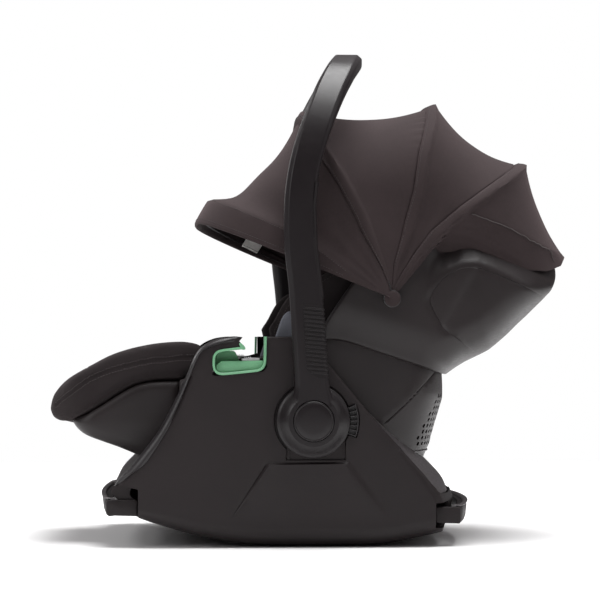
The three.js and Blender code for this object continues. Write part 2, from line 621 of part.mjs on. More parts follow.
// harness adjuster button at the front of the seat cushion
const ADJUSTER = { x: -98, z: 200, tilt: -54 };
const adjusterBox = (a0, a1, b0, b1) => [[a0, b0], [a1, b0], [a1, b1], [a0, b1]]
  .map((p) => turned(ADJUSTER.x, ADJUSTER.z, ADJUSTER.tilt, p));
function adjusterHousing() {
  const body = solid(alongY(adjusterBox(-12, 16, 0.8, 8), -17, 17));
  return geometryOf(cut(body, alongY(adjusterBox(-9.4, 7.4, 2.2, 12), -11.4, 11.4)));
}
piece('adjuster_housing', 'shell_plastic', adjusterHousing());
piece('adjuster_button', 'handle_plastic', alongY(adjusterBox(-8.8, 6.8, 6, 10), -11, 11));
piece('release_handle', 'handle_plastic', releaseHandle());

// ---------------------------------------------------------------- folding canopy
// a bow is a flat arch that turns about the canopy pivot; bows further forward lie outside the ones behind
const bowHalf = (i) => HOOD_HALF + HOOD_STEP_Y * i;
const bowRadius = (i) => HOOD_RADIUS + HOOD_STEP_R * i;

// half of an arch, as radius and offset across the seat, from the pivot to the middle of the top
function archLine(half, radius, inset, from) {
  return [[from, half - inset], ...archCorner(half - inset, radius - inset, HOOD_CORNER - inset)];
}

// the closed section between an outer arch and one that lies inside it
function archSection(half, radius, thick, from) {
  const outer = archLine(half, radius, 0, from);
  const inner = archLine(half, radius, thick, from);
  const across = (line) => [...line.map(([r, y]) => [r, -y]),
    ...line.slice().reverse().map(([r, y]) => [r, y])];
  return [...across(outer), ...across(inner).reverse()];
}

function turnedSection(section, angles) {
  return loft(angles.map((angle) => section.map(([r, y]) => [
    HOOD.x + r * Math.cos(radians(angle)), y, HOOD.z + r * Math.sin(radians(angle)),
  ])));
}

const between = (from, to, steps) => Array.from({ length: steps + 1 },
  (_, i) => from + ((to - from) * i) / steps);

function canopyBow(i) {
  const section = archSection(bowHalf(i), bowRadius(i), 1.6, 16);
  const arch = solid(turnedSection(section, between(BOW_ANGLES[i] - 0.9, BOW_ANGLES[i] + 0.9, 1)));
  const eyes = SIDES.map(([side]) => roundY(19, ...spanY(side, bowHalf(i) - 1.6, bowHalf(i)), HOOD.x,
    HOOD.z, 24));
  const bores = SIDES.map(([side]) => roundY(5.4, ...spanY(side, bowHalf(i) - 5, bowHalf(i) + 5), HOOD.x,
    HOOD.z, 16));
  return geometryOf(cut(join(arch, ...eyes), ...bores));
}

function canopyPanel(i) {
  const from = i === 0 ? HOOD_REAR_ANGLE : BOW_ANGLES[i - 1];
  const section = archSection(bowHalf(i) + 1.3, bowRadius(i) + 1.8, 1, 22);
  return turnedSection(section, between(from, BOW_ANGLES[i] + 1, 7));
}

const BOW_NAMES = ['rear', 'middle', 'front', 'visor'];
BOW_NAMES.forEach((name, i) => {
  piece(`canopy_bow_${name}`, 'handle_plastic', canopyBow(i));
  piece(`canopy_panel_${name}`, 'canopy_fabric', canopyPanel(i));
});
for (const [side, name] of SIDES) {
  const pin = solid(roundY(5, ...spanY(side, HEAD_HALF + GAP, bowHalf(3) + 1.2), HOOD.x, HOOD.z, 16));
  piece(`canopy_pivot_${name}`, 'steel', geometryOf(join(pin,
    roundY(14, ...spanY(side, HEAD_HALF + GAP, HOOD_HALF - 1.6 - GAP), HOOD.x, HOOD.z, 24))));
}

export default seat;
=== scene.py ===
# Infant car seat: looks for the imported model. Shapes are in millimetres, in the frame of the
# CAD part: +X to the head end, +Z up, symmetric about Y = 0. Meshes are stored in metres.
import math
import random

import bmesh
import bpy
import numpy as np
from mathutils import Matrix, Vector
from mathutils.bvhtree import BVHTree
from mathutils.geometry import delaunay_2d_cdt


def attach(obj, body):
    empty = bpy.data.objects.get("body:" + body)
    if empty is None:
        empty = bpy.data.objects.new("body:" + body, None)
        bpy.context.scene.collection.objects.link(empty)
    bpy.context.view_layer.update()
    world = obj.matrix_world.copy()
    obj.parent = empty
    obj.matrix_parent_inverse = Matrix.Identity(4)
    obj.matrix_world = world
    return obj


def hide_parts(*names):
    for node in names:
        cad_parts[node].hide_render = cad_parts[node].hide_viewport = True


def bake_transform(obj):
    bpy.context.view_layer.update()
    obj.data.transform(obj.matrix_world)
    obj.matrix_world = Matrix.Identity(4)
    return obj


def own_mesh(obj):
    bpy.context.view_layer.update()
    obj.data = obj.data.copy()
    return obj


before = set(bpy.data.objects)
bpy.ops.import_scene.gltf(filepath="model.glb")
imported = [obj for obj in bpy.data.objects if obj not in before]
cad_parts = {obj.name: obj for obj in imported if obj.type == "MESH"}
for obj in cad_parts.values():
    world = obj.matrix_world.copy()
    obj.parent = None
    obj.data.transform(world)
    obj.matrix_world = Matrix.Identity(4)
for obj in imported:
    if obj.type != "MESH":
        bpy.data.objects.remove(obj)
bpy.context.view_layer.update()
random.seed(7)

MM = 0.001
HUB = (-4.0, 149.0)                     # carry handle pivot
RECLINE = (-4.0, 210.0)                 # seat recline pivot
HOOD = (90.0, 292.0)                    # canopy pivot
BASE_HALF = 190.0
SIDES = ((-1, "right"), (1, "left"))


# ---------------------------------------------------------------- outlines
def even(points, spacing, closed=False):
    """The same line with points at an even distance."""
    p = np.array(points, float)
    if closed:
        p = np.vstack([p, p[:1]])
    run = np.concatenate([[0], np.cumsum(np.linalg.norm(np.diff(p, axis=0), axis=1))])
    count = max(2, round(run[-1] / spacing))
    at = np.linspace(0, run[-1], count + 1)
    out = np.stack([np.interp(at, run, p[:, k]) for k in range(p.shape[1])], axis=1)
    return out[:-1] if closed else out


def curve(points, spacing, closed=False):
    """A smooth line through the points."""
    p = np.array(points, float)
    ends = [p[-1:], p[:1], p[1:2]] if closed else [2 * p[:1] - p[1:2], 2 * p[-1:] - p[-2:-1]]
    ext = np.vstack([ends[0], p, *ends[1:]])
    t = np.linspace(0, 1, 12, endpoint=False)[:, None]
    out = []
    for a, b, c, d in zip(ext, ext[1:], ext[2:], ext[3:]):
        out.append(b + 0.5 * t * (c - a + t * (2 * a - 5 * b + 4 * c - d + t * (3 * b - a - 3 * c + d))))
    if not closed:
        out.append(p[-1:])
    return even(np.vstack(out), spacing, closed)


def rounded(points, radius, steps=4):
    """A closed outline with its corners rounded."""
    p = np.array(points, float)
    radius = np.broadcast_to(radius, len(p))
    out = []
    for before, q, after, r in zip(np.roll(p, 1, 0), p, np.roll(p, -1, 0), radius):
        a, b = before - q, after - q
        a = q + a * min(r / np.linalg.norm(a), 0.45)
        b = q + b * min(r / np.linalg.norm(b), 0.45)
        for t in np.linspace(0, 1, steps + 1):
            out.append((1 - t) ** 2 * a + 2 * t * (1 - t) * q + t * t * b)
    return np.array(out)


def arc(centre, radius, start, end, steps):
    a = np.radians(np.linspace(start, end, steps + 1))
    return np.stack([centre[0] + radius * np.cos(a), centre[1] + radius * np.sin(a)], axis=1)


def normals(points, closed=True):
    """Unit vectors that point inwards from a closed outline, or left of an open line."""
    p = np.array(points, float)
    if closed:
        along = np.roll(p, -1, 0) - np.roll(p, 1, 0)
    else:
        along = np.gradient(p, axis=0)
    along /= np.linalg.norm(along, axis=1)[:, None] + 1e-12
    n = np.stack([-along[:, 1], along[:, 0]], axis=1)
    if closed and area_of(p) < 0:
        n = -n
    return n


def area_of(p):
    q = np.roll(p, -1, 0)
    return 0.5 * float((p[:, 0] * q[:, 1] - q[:, 0] * p[:, 1]).sum())


def inside(points, outline):
    """Which points lie in a closed outline."""
    x, z = np.array(points, float).T
    hit = np.zeros(len(x), bool)
    for (x0, z0), (x1, z1) in zip(outline, np.roll(outline, -1, 0)):
        if z0 != z1:
            hit ^= ((z0 > z) != (z1 > z)) & (x < (x1 - x0) * (z - z0) / (z1 - z0) + x0)
    return hit


def distance(points, line, closed=False):
    """How far each point lies from a line."""
    p = np.array(points, float)
    a = np.array(line, float)
    b = np.roll(a, -1, 0) if closed else a[1:]
    a = a if closed else a[:-1]
    best = np.full(len(p), 1e9)
    for s, e in zip(a, b):
        d = e - s
        t = np.clip((p - s) @ d / max(d @ d, 1e-9), 0, 1)
        best = np.minimum(best, np.linalg.norm(p - s - t[:, None] * d, axis=1))
    return best


def ramp(value, low, high):
    t = np.clip((value - low) / (high - low), 0, 1)
    return t * t * (3 - 2 * t)


def dome(t):
    """0 to 1 along a quarter circle: flat at the start and steep at the end."""
    return 1 - math.sqrt(max(0.0, 1 - min(1.0, max(0.0, t)) ** 2))


def table(x, *pairs):
    """Reads a value off a line through (x, value) pairs."""
    return np.interp(x, [p[0] for p in pairs], [p[1] for p in pairs])


# ---------------------------------------------------------------- meshes
def obj_of(name, points, faces, finish=None, crisp=32):
    mesh = bpy.data.meshes.new(name)
    mesh.from_pydata([Vector(p) * MM for p in points], [], [tuple(map(int, f)) for f in faces])
    obj = bpy.data.objects.new(name, mesh)
    bpy.context.scene.collection.objects.link(obj)
    tidy(obj)
    if finish:
        mesh.materials.append(finish)
    shade(obj, crisp)
    return obj


def tidy(obj):
    bm = bmesh.new()
    bm.from_mesh(obj.data)
    bmesh.ops.remove_doubles(bm, verts=bm.verts, dist=2e-5)
    bmesh.ops.dissolve_degenerate(bm, edges=bm.edges, dist=1e-6)
    bmesh.ops.recalc_face_normals(bm, faces=bm.faces)
    bm.to_mesh(obj.data)
    bm.free()


def shade(obj, crisp=32):
    obj.data.shade_smooth()
    obj.data.set_sharp_from_angle(angle=math.radians(crisp))


def apply(obj):
    """Turns the modifiers of obj into its mesh."""
    graph = bpy.context.evaluated_depsgraph_get()
    graph.update()
    mesh = bpy.data.meshes.new_from_object(obj.evaluated_get(graph))
    obj.modifiers.clear()
    obj.data = mesh
    return obj


def loft(rings, caps=True):
    """Points and faces through rings that have the same number of points."""
    rings = np.array(rings, float)
    m, n = rings.shape[:2]
    faces = []
    for i in range(m - 1):
        for k in range(n):
            j = (k + 1) % n
            faces.append((i * n + k, i * n + j, (i + 1) * n + j, (i + 1) * n + k))
    if caps:
        faces.append(tuple(reversed(range(n))))
        faces.append(tuple((m - 1) * n + k for k in range(n)))
    return rings.reshape(-1, 3), faces


def merge(*parts):
    """Several (points, faces) as one."""
    points, faces, start = [], [], 0
    for p, f in parts:
        points.append(np.array(p, float).reshape(-1, 3))
        faces += [tuple(int(k) + start for k in face) for face in f]
        start += len(p)
    return np.vstack(points), faces


def mirrored(part):
    points, faces = part
    return np.array(points) * (1, -1, 1), [tuple(reversed(f)) for f in faces]


def at_y(outline, y):
    outline = np.array(outline, float)
    return np.stack([outline[:, 0], np.broadcast_to(y, len(outline)), outline[:, 1]], axis=1)


def prism(outline, y0, y1, edge=0.8, steps=3):
    """An outline in X and Z, from y0 to y1, with rounded edges."""
    outline = np.array(outline, float)
    n = normals(outline)
    rings = []
    way = math.copysign(1, y1 - y0)
    for a in np.linspace(0, math.pi / 2, steps + 1):
        rings.append(at_y(outline + n * edge * (1 - math.sin(a)), y0 + way * edge * (1 - math.cos(a))))
    for a in np.linspace(math.pi / 2, 0, steps + 1):
        rings.append(at_y(outline + n * edge * (1 - math.sin(a)), y1 - way * edge * (1 - math.cos(a))))
    return loft(rings)


def lathe(profile, centre, side=1, sides=96):
    """(radius, y) pairs turned about a line along Y."""
    rings = []
    for r, y in profile:
        ring = arc(centre, max(r, 0.01), 0, 360, sides)[:-1]
        rings.append(at_y(ring, side * y))
    return loft(rings)


def frames(path, up):
    """Tangent, side and top vectors along a path."""
    path = np.array(path, float)
    t = np.gradient(path, axis=0)
    t /= np.linalg.norm(t, axis=1)[:, None] + 1e-12
    up = np.broadcast_to(np.array(up, float), path.shape)
    side = np.cross(t, up)
    side /= np.linalg.norm(side, axis=1)[:, None] + 1e-12
    return t, side, np.cross(side, t)


def sweep(path, section, up=(0, 0, 1)):
    """A closed section of (side, top) offsets carried along a path. It may be one per point."""
    path = np.array(path, float)
    _, side, top = frames(path, up)
    section = np.array(section, float)
    if section.ndim == 2:
        section = np.broadcast_to(section, (len(path), *section.shape))
    rings = path[:, None] + section[:, :, :1] * side[:, None] + section[:, :, 1:] * top[:, None]
    return loft(rings)


def circle(radius, sides=10):
    return arc((0, 0), radius, 0, 360, sides)[:-1]


def strip_section(width, thick):
    return rounded([(-width / 2, 0), (width / 2, 0), (width / 2, thick), (-width / 2, thick)],
                   thick * 0.45, 2)


def patch(ring, spacing, lines=()):
    """Fills a closed ring with triangles that follow the given lines. Returns (x, z) points and faces."""
    ring = np.float64(np.float32(ring))
    points = [ring]
    edges = []
    start = len(ring)
    for line in lines:
        line = np.array(line, float)
        line = line[inside(line, ring) & (distance(line, ring, True) > 0.3)]
        edges += [(start + k, start + k + 1) for k in range(len(line) - 1)
                  if np.linalg.norm(line[k + 1] - line[k]) < 12]
        points.append(line)
        start += len(line)
    fixed = np.vstack(points)
    low, high = ring.min(0), ring.max(0)
    rows = np.arange(low[1], high[1], spacing * 0.87)
    grid = [(x + (i % 2) * spacing / 2, z)
            for i, z in enumerate(rows) for x in np.arange(low[0], high[0], spacing)]
    grid = np.array(grid)
    grid = grid[inside(grid, ring)]
    near = np.full(len(grid), 1e9)
    for chunk in np.array_split(fixed, max(1, len(fixed) // 300)):
        gap = np.linalg.norm(grid[:, None] - chunk[None], axis=2).min(1)
        near = np.minimum(near, gap)
    grid = grid[near > spacing * 0.6]
    every = [Vector(p) for p in np.vstack([fixed, grid])]
    edges += [(k, (k + 1) % len(ring)) for k in range(len(ring))]
    verts, _, faces, *_ = delaunay_2d_cdt(every, edges, [], 0, 1e-6, False)
    verts = np.array([tuple(v) for v in verts])
    faces = np.array([f for f in faces if len(f) == 3])
    return verts, faces[inside(verts[faces].mean(1), ring)]


def boolean(obj, tool, how="DIFFERENCE"):
    """Cuts, joins or intersects obj with tool, a mesh or (points, faces)."""
    if isinstance(tool, tuple):
        tool = obj_of("tool", *tool)
    mod = obj.modifiers.new("cut", "BOOLEAN")
    mod.operation = how
    mod.solver = "MANIFOLD"
    mod.object = tool
    before = len(obj.data.polygons)
    apply(obj)
    if len(obj.data.polygons) == 0 or before == 0:
        raise RuntimeError(f"nothing is left of {obj.name}")
    bpy.data.objects.remove(tool)
    return obj


def bevel(obj, width):
    mod = obj.modifiers.new("edge", "BEVEL")
    mod.width = width * MM
    mod.segments = 2
    mod.limit_method = "ANGLE"
    mod.angle_limit = math.radians(30)
    apply(obj)
    shade(obj, 40)
    return obj


def place(obj, body, slot, *nodes):
    """obj rides on a body and stands for CAD nodes, which it hides. The slot is not used."""
    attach(obj, body)
    if nodes:
        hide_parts(*nodes)
    return obj


# ---------------------------------------------------------------- materials
class Finish:
    """A procedural material, with short calls for its nodes."""

    def __init__(self, name, **sockets):
        self.material = bpy.data.materials.new(name)
        self.material.use_nodes = True
        self.tree = self.material.node_tree
        self.shader = self.tree.nodes["Principled BSDF"]
        for key, value in sockets.items():
            self.shader.inputs[key.replace("_", " ")].default_value = value
        self.place = self.node("TexCoord").outputs["Object"]

    def node(self, kind, **values):
        made = self.tree.nodes.new("ShaderNode" + kind)
        for key, value in values.items():
            if isinstance(value, bpy.types.NodeSocket):
                self.tree.links.new(value, made.inputs[key.replace("_", " ")])
            elif hasattr(made, key):
                setattr(made, key, value)
            else:
                made.inputs[key.replace("_", " ")].default_value = value
        return made

    def noise(self, size, detail=2.0, stretch=(1, 1, 1)):
        """Noise with features of about size millimetres."""
        spot = self.node("Mapping", Vector=self.place, Scale=stretch).outputs["Vector"]
        made = self.node("TexNoise", Vector=spot, Scale=1000 / size, Detail=detail)
        return made.outputs["Fac"]

    def between(self, value, low, high, start=0.3, end=0.7):
        made = self.node("MapRange", Value=value)
        for key, number in (("From Min", start), ("From Max", end), ("To Min", low), ("To Max", high)):
            made.inputs[key].default_value = number
        return made.outputs["Result"]

    def blend(self, factor, a, b):
        made = self.node("Mix", data_type="RGBA")
        self.tree.links.new(factor, made.inputs["Factor"])
        for key, colour in (("A", a), ("B", b)):
            socket = next(s for s in made.inputs if s.name == key and s.type == "RGBA")
            if isinstance(colour, bpy.types.NodeSocket):
                self.tree.links.new(colour, socket)
            else:
                socket.default_value = (*colour, 1)
        return next(s for s in made.outputs if s.type == "RGBA")

    def sum(self, how, a, b):
        made = self.node("Math", operation=how)
        for socket, value in zip(made.inputs, (a, b)):
            if isinstance(value, bpy.types.NodeSocket):
                self.tree.links.new(value, socket)
            else:
                socket.default_value = value
        return made.outputs[0]

    def set(self, key, value):
        self.tree.links.new(value, self.shader.inputs[key])

    def bump(self, height, depth):
        made = self.node("Bump", Height=height, Distance=depth * MM, Strength=1.0)
        self.tree.links.new(made.outputs["Normal"], self.shader.inputs["Normal"])


def moulded(name, colour, rough, grain=0.05, spread=0.12, gloss=0.5):
    """Moulded plastic: fine grain, slight clouds in colour and gloss, and faint scuffs."""
    f = Finish(name, Specular_IOR_Level=gloss)
    clouds = f.noise(60, 3)
    fine = f.noise(0.9, 2)
    scuff = f.noise(9, 4, (1, 1, 6))
    dark = tuple(c * (1 - spread) for c in colour)
    light = tuple(c * (1 + spread) for c in colour)
    tone = f.blend(f.between(clouds, 0, 1), dark, light)
    speck = f.between(fine, 0.0, 0.35, 0.45, 0.75)
    f.set("Base Color", f.blend(speck, tone, tuple(c * 1.5 for c in colour)))
    worn = f.sum("ADD", f.between(clouds, -0.04, 0.04), f.between(scuff, rough - 0.03, rough + 0.05))
    f.set("Roughness", worn)
    f.bump(fine, grain)
    return f.material


def woven(name, colour, thread=0.7, depth=0.12, spread=0.18, fuzz=0.25):
    """Cloth: two crossing thread patterns, mottled dye and a soft sheen."""
    f = Finish(name, Roughness=0.92, Sheen_Weight=fuzz, Sheen_Roughness=0.45, Specular_IOR_Level=0.2)
    f.shader.inputs["Sheen Tint"].default_value = (*[min(1, c * 6) for c in colour], 1)
    scale = 0.314 / (thread * MM)
    turned = f.node("Mapping", Vector=f.place, Rotation=(1.2, 1.1, 1.57)).outputs["Vector"]
    warp, weft = (f.node("TexWave", Vector=spot, Scale=scale, Distortion=0.6,
                         bands_direction="DIAGONAL").outputs["Fac"] for spot in (f.place, turned))
    weave = f.sum("MULTIPLY", warp, weft)
    mottle = f.noise(3.2, 4)
    dye = f.noise(45, 2)
    tone = f.blend(f.between(dye, 0, 1), tuple(c * (1 - spread) for c in colour),
                   tuple(c * (1 + spread) for c in colour))
    tone = f.blend(f.between(mottle, 0, 0.5), tone, tuple(c * 1.25 for c in colour))
    f.set("Base Color", f.blend(f.between(weave, 0, 0.45, 0.2, 1.0), tone, tuple(c * 1.5 for c in colour)))
    f.bump(f.sum("ADD", weave, f.sum("MULTIPLY", mottle, 0.6)), depth)
    return f.material


def ribbed(name, colour):
    """Seat belt webbing: fine ribs across a flat strap."""
    f = Finish(name, Roughness=0.7, Sheen_Weight=0.15, Specular_IOR_Level=0.35)
    ribs = f.node("TexWave", Vector=f.place, Scale=0.314 / (1.1 * MM), Distortion=0.4,
                  bands_direction="Y").outputs["Fac"]
    fine = f.noise(0.6, 2)
    f.set("Base Color", f.blend(ribs, tuple(c * 0.75 for c in colour), tuple(c * 1.35 for c in colour)))
    f.bump(f.sum("ADD", ribs, fine), 0.25)
    return f.material


def metal(name, colour, rough):
    f = Finish(name, Metallic=1.0)
    brushed = f.noise(2.0, 3, (1, 12, 1))
    f.set("Base Color", f.blend(brushed, tuple(c * 0.8 for c in colour), colour))
    f.set("Roughness", f.between(brushed, rough - 0.08, rough + 0.1))
    f.bump(brushed, 0.02)
    return f.material


BASE = moulded("base_grain", (0.0124, 0.0092, 0.0097), 0.5, 0.06, 0.12, 0.24)
SHELL = moulded("shell_grain", (0.0128, 0.0096, 0.0100), 0.42, 0.04, 0.12, 0.30)
DECK = moulded("deck_satin", (0.046, 0.041, 0.043), 0.34, 0.02, 0.06, 0.5)
TRIM = moulded("trim_satin", (0.0115, 0.0098, 0.0108), 0.38, 0.03, 0.12, 0.42)
HANDLE = moulded("handle_satin", (0.0078, 0.0058, 0.0066), 0.34, 0.03, 0.12, 0.28)
GRIP = moulded("grip_rubber", (0.0072, 0.0054, 0.0060), 0.5, 0.05, 0.12, 0.22)
GREEN = moulded("guide_green", (0.135, 0.335, 0.185), 0.42, 0.02, 0.06)
RED = moulded("buckle_red", (0.36, 0.02, 0.015), 0.4, 0.02, 0.05)
STEEL = metal("zinc_steel", (0.55, 0.55, 0.56), 0.34)
CANOPY = woven("canopy_cloth", (0.0255, 0.0182, 0.0188), 0.55, 0.05, 0.1, 0.30)
# The inner face of the canopy is the canopy cloth painted lighter. This painted fill light keeps it from
# reading black in the shade under the canopy.
UNDERSIDE_PAINTED_LIGHTER = woven("canopy_cloth_painted_lighter", (0.042, 0.031, 0.032), 0.8, 0.06, 0.1, 0.15)
KNIT = woven("seat_knit", (0.0175, 0.0138, 0.0143), 1.0, 0.22, 0.15, 0.35)
INSERT = woven("insert_jersey", (0.12, 0.125, 0.145), 0.8, 0.15, 0.1, 0.4)
THREAD = woven("sewing_thread", (0.05, 0.043, 0.043), 0.4, 0.05, 0.1, 0.2)
WEB = ribbed("harness_webbing", (0.02, 0.019, 0.02))
TAG = woven("blank_tag", (0.8, 0.78, 0.75), 0.4, 0.05, 0.05, 0.1)


# ---------------------------------------------------------------- rocker base
BOTTOM = [(148, 16), (112, 8), (78, 0), (-66, 0), (-110, 6), (-150, 15), (-190, 27), (-226, 40)]
FRONT = [(-228, 56), (-240, 62), (-240, 67), (-231, 81), (-214, 98), (-191, 127), (-170, 160), (-151, 201),
         (-136, 234)]
TOP = [(-113, 244.5), (-94, 246.5), (-60, 248), (-13, 247)]
REAR = [(10, 221), (34, 192), (78, 139), (109, 106), (133, 80), (147, 57), (150, 34)]
SOFTENED = [3, 40, 40, 60, 40, 40, 40, 6, 4, 4, 4, 20, 20, 30, 30, 30, 10, 14, 14, 20, 10, 20, 30, 40, 30,
            30, 12, 6]
SIDE_OUTLINE = even(rounded(BOTTOM + FRONT + TOP + REAR, SOFTENED), 2.6, True)


def base_ring(outline, y, half=BASE_HALF, edge=3.0):
    """The side outline of the base at y, with its ends bulged and its edges rounded."""
    u = min(1.0, abs(y) / half)
    x, z = outline[:, 0].copy(), outline[:, 1].copy()
    rear = ramp(x, 40, 140) * 31 * (1 - u * u) * (0.5 + 0.5 * ramp(z, 16, 55))
    tuck = np.where(z < 60, 24 * dome((u - 0.8) / 0.2) * (1 - np.clip(z, 0, 60) / 60), 0)
    pinch = 9 * dome((u - 0.94) / 0.06)
    ends = np.where(x < -150, pinch, np.where(x > 100, -pinch, 0)) * ramp(np.abs(x + 20), 100, 150)
    inset = edge * dome((abs(y) - half + edge) / edge) * ramp(z, 50, 75)
    n = normals(outline)
    return np.stack([x + rear + ends + n[:, 0] * inset, np.full(len(x), y), z + tuck + n[:, 1] * inset],
                    axis=1)


def cut_line(p, q, shift):
    """Two points of the line from p to q, moved to its right by shift."""
    p, q = np.array(p, float), np.array(q, float)
    d = (q - p) / np.linalg.norm(q - p)
    return p + shift * np.array([d[1], -d[0]]), d


def meet(a, b):
    """Where two lines (point, direction) cross."""
    t = np.linalg.solve(np.stack([a[1], -b[1]], axis=1), b[0] - a[0])
    return a[0] + t[0] * a[1]


FACET = [(-101, 31), (-56.5, 99.5), (39, 100.5), (87, 36)]
FACET_STEPS = (2.2, 2.0, 6.0)           # width of the ledge at the left, the top and the right
RECESS = np.vstack([
    [(-35.5, 102.6), (-35.5, 115.5)], arc(HUB, 45.6, -133, -338, 60), arc(HUB, 55.5, 22, -22, 12),
    arc(HUB, 45.6, -22, -32, 3), [(35, 124.6), (35, 102.6)],
])


def facet_lines(share):
    left = cut_line(FACET[0], FACET[1], FACET_STEPS[0] * share)
    top = cut_line(FACET[1], FACET[2], FACET_STEPS[1] * share)
    right = cut_line(FACET[2], FACET[3], FACET_STEPS[2] * share)
    length = np.linalg.norm(np.subtract(FACET[3], FACET[2]))
    corners = [left[0], meet(left, top), meet(top, right), right[0] + right[1] * length]
    return [left, top, right], corners


def base_relief(p):
    """How far the side of the base stands out of its plane at each (x, z)."""
    lines = facet_lines(0)[0]
    point, d = lines[0]
    from_left = (p - point) @ np.array([d[1], -d[0]])
    groove = np.exp(-((from_left + 0.5) / 0.8) ** 2)
    groove *= ramp(p[:, 1], 33, 42) * (1 - ramp(p[:, 1], 96, 100))
    depth = []
    for (point, d), width in zip(lines, FACET_STEPS):
        depth.append(np.clip((p - point) @ np.array([d[1], -d[0]]) / width, 0, 1))
    ledge = 3.6 * np.clip((p[:, 1] - 36) / 64, 0, 1) ** 0.9 * np.minimum.reduce(depth)
    far = distance(p, RECESS, True)
    hollow = np.where(inside(p, RECESS), np.clip(far / 0.8, 0, 1), 0)
    crown = 1.2 * np.clip(1 - ((p[:, 1] - 120) / 110) ** 2, 0, 1)
    crown *= np.clip(1 - ((p[:, 0] + 40) / 170) ** 2, 0, 1)
    return crown + ledge - 3.4 * hollow - 1.1 * groove


def base_side():
    ring = base_ring(SIDE_OUTLINE, BASE_HALF)[:, [0, 2]]
    lines = []
    for share in (-0.55, -0.2, 0.1, 0.5, 1):
        corners = facet_lines(share)[1]
        lines.append(even(corners, 3))
    lines.append(even(RECESS, 2, True))
    lines.append(even(RECESS + normals(RECESS) * 0.8, 2, True))
    spots, faces = patch(ring, 4.2, lines)
    away = distance(spots, ring, True)
    y = BASE_HALF + base_relief(spots) * ramp(away, 0, 14)
    return np.stack([spots[:, 0], y, spots[:, 1]], axis=1), faces


def base_body():
    turns = np.radians([0, 15, 30, 42, 52, 60, 67, 71, 75, 79, 82, 85, 87.5, 90])
    near = [0, 30, 60, 90, 120] + [BASE_HALF * (0.8 + 0.2 * math.sin(t)) for t in turns]
    ys = [-y for y in reversed(near[1:])] + near
    skin = loft([base_ring(SIDE_OUTLINE, y) for y in ys], caps=False)
    side = base_side()
    body = obj_of("base_body", *merge(skin, side, mirrored(side)), BASE, 28)
    hollow = [(143, 21), (112, 13), (78, 5), (-66, 5), (-110, 11), (-150, 20), (-190, 32), (-222, 45),
              (-235, 58), (-235, 300), (-60, 300), (30, 300), (142, 300), (145, 34)]
    hollow = even(hollow, 12, True)
    inner = [0, 60, 120, 150, 165, 175, 181, 185.5]
    inner = [-y for y in reversed(inner[1:])] + inner
    boolean(body, loft([base_ring(hollow, y, 185.5, 1.0) for y in inner]))
    slot = rounded([(-121.5, 202.5), (-118, 201.5), (-62, 206.5), (-57.5, 212), (-57.5, 262), (-104, 262),
                    (-94.5, 247.5), (-83.5, 234.8), (-86, 232.6), (-116, 229.5), (-121.5, 225)], 1.6)
    foot = rounded([(-262, 20), (-208, 20), (-208, 69), (-226, 73), (-262, 73)], 1.5)
    head = rounded([(141, 22), (232, 22), (232, 52), (141, 52)], 1.5)
    for side in (-1, 1):
        for shape, y0 in ((slot, 150), (foot, 146), (head, 146)):
            boolean(body, prism(shape, side * y0, side * 232, 0.4, 1))
    shade(body, 28)
    return place(body, "base", "base_plastic", "base_shell")


base_body()


RIM_OUTER = [(-235, 74), (-231, 81), (-214, 98.5), (-191, 127.5), (-179, 146), (-164, 175), (-151, 204),
             (-142, 225), (-132, 237), (-116, 244.8), (-98, 247.6), (-86, 246.8)]
RIM_INNER = [(-226, 78), (-217, 86), (-198, 101.5), (-175, 137), (-165, 158), (-155, 181), (-144, 208.5),
             (-136, 227), (-127, 233.8), (-112, 238.8), (-99, 240.8), (-91, 240.6)]


def foot_rim(side, name):
    """Trim that wraps the foot-end edge of a side wall."""
    outer = curve(RIM_OUTER, 3.5)
    inner = curve(RIM_INNER, 1)
    share = np.linspace(0, 1, len(outer))
    at = np.linspace(0, 1, len(inner))
    inner = np.column_stack([np.interp(share, at, inner[:, k]) for k in (0, 1)])
    # share of the way from the inner line to the outer one, and y
    section = [(0.0, 188.4), (0.0, 190.8), (0.04, 192.2), (0.16, 192.9), (0.35, 192.6), (0.65, 191.2),
               (0.88, 188.6), (0.98, 186.0), (1.02, 183.0), (1.02, 180.5), (0.9, 180.5), (0.9, 184.5),
               (0.7, 187.4)]
    rings = []
    for k, (a, b) in enumerate(zip(inner, outer)):
        end = min(1.0, k / 4, (len(outer) - 1 - k) / 5)
        rings.append([(*(a + (b - a) * s), side * (y if y < 188.6 else 188.4 + (y - 188.4) * end))
                      for s, y in section])
    rings = np.array(rings)[:, :, [0, 2, 1]]
    rim = obj_of(f"foot_rim_trim_{name}", *loft(rings), TRIM, 40)
    return place(rim, "base", "base_plastic", f"foot_rim_{name}")


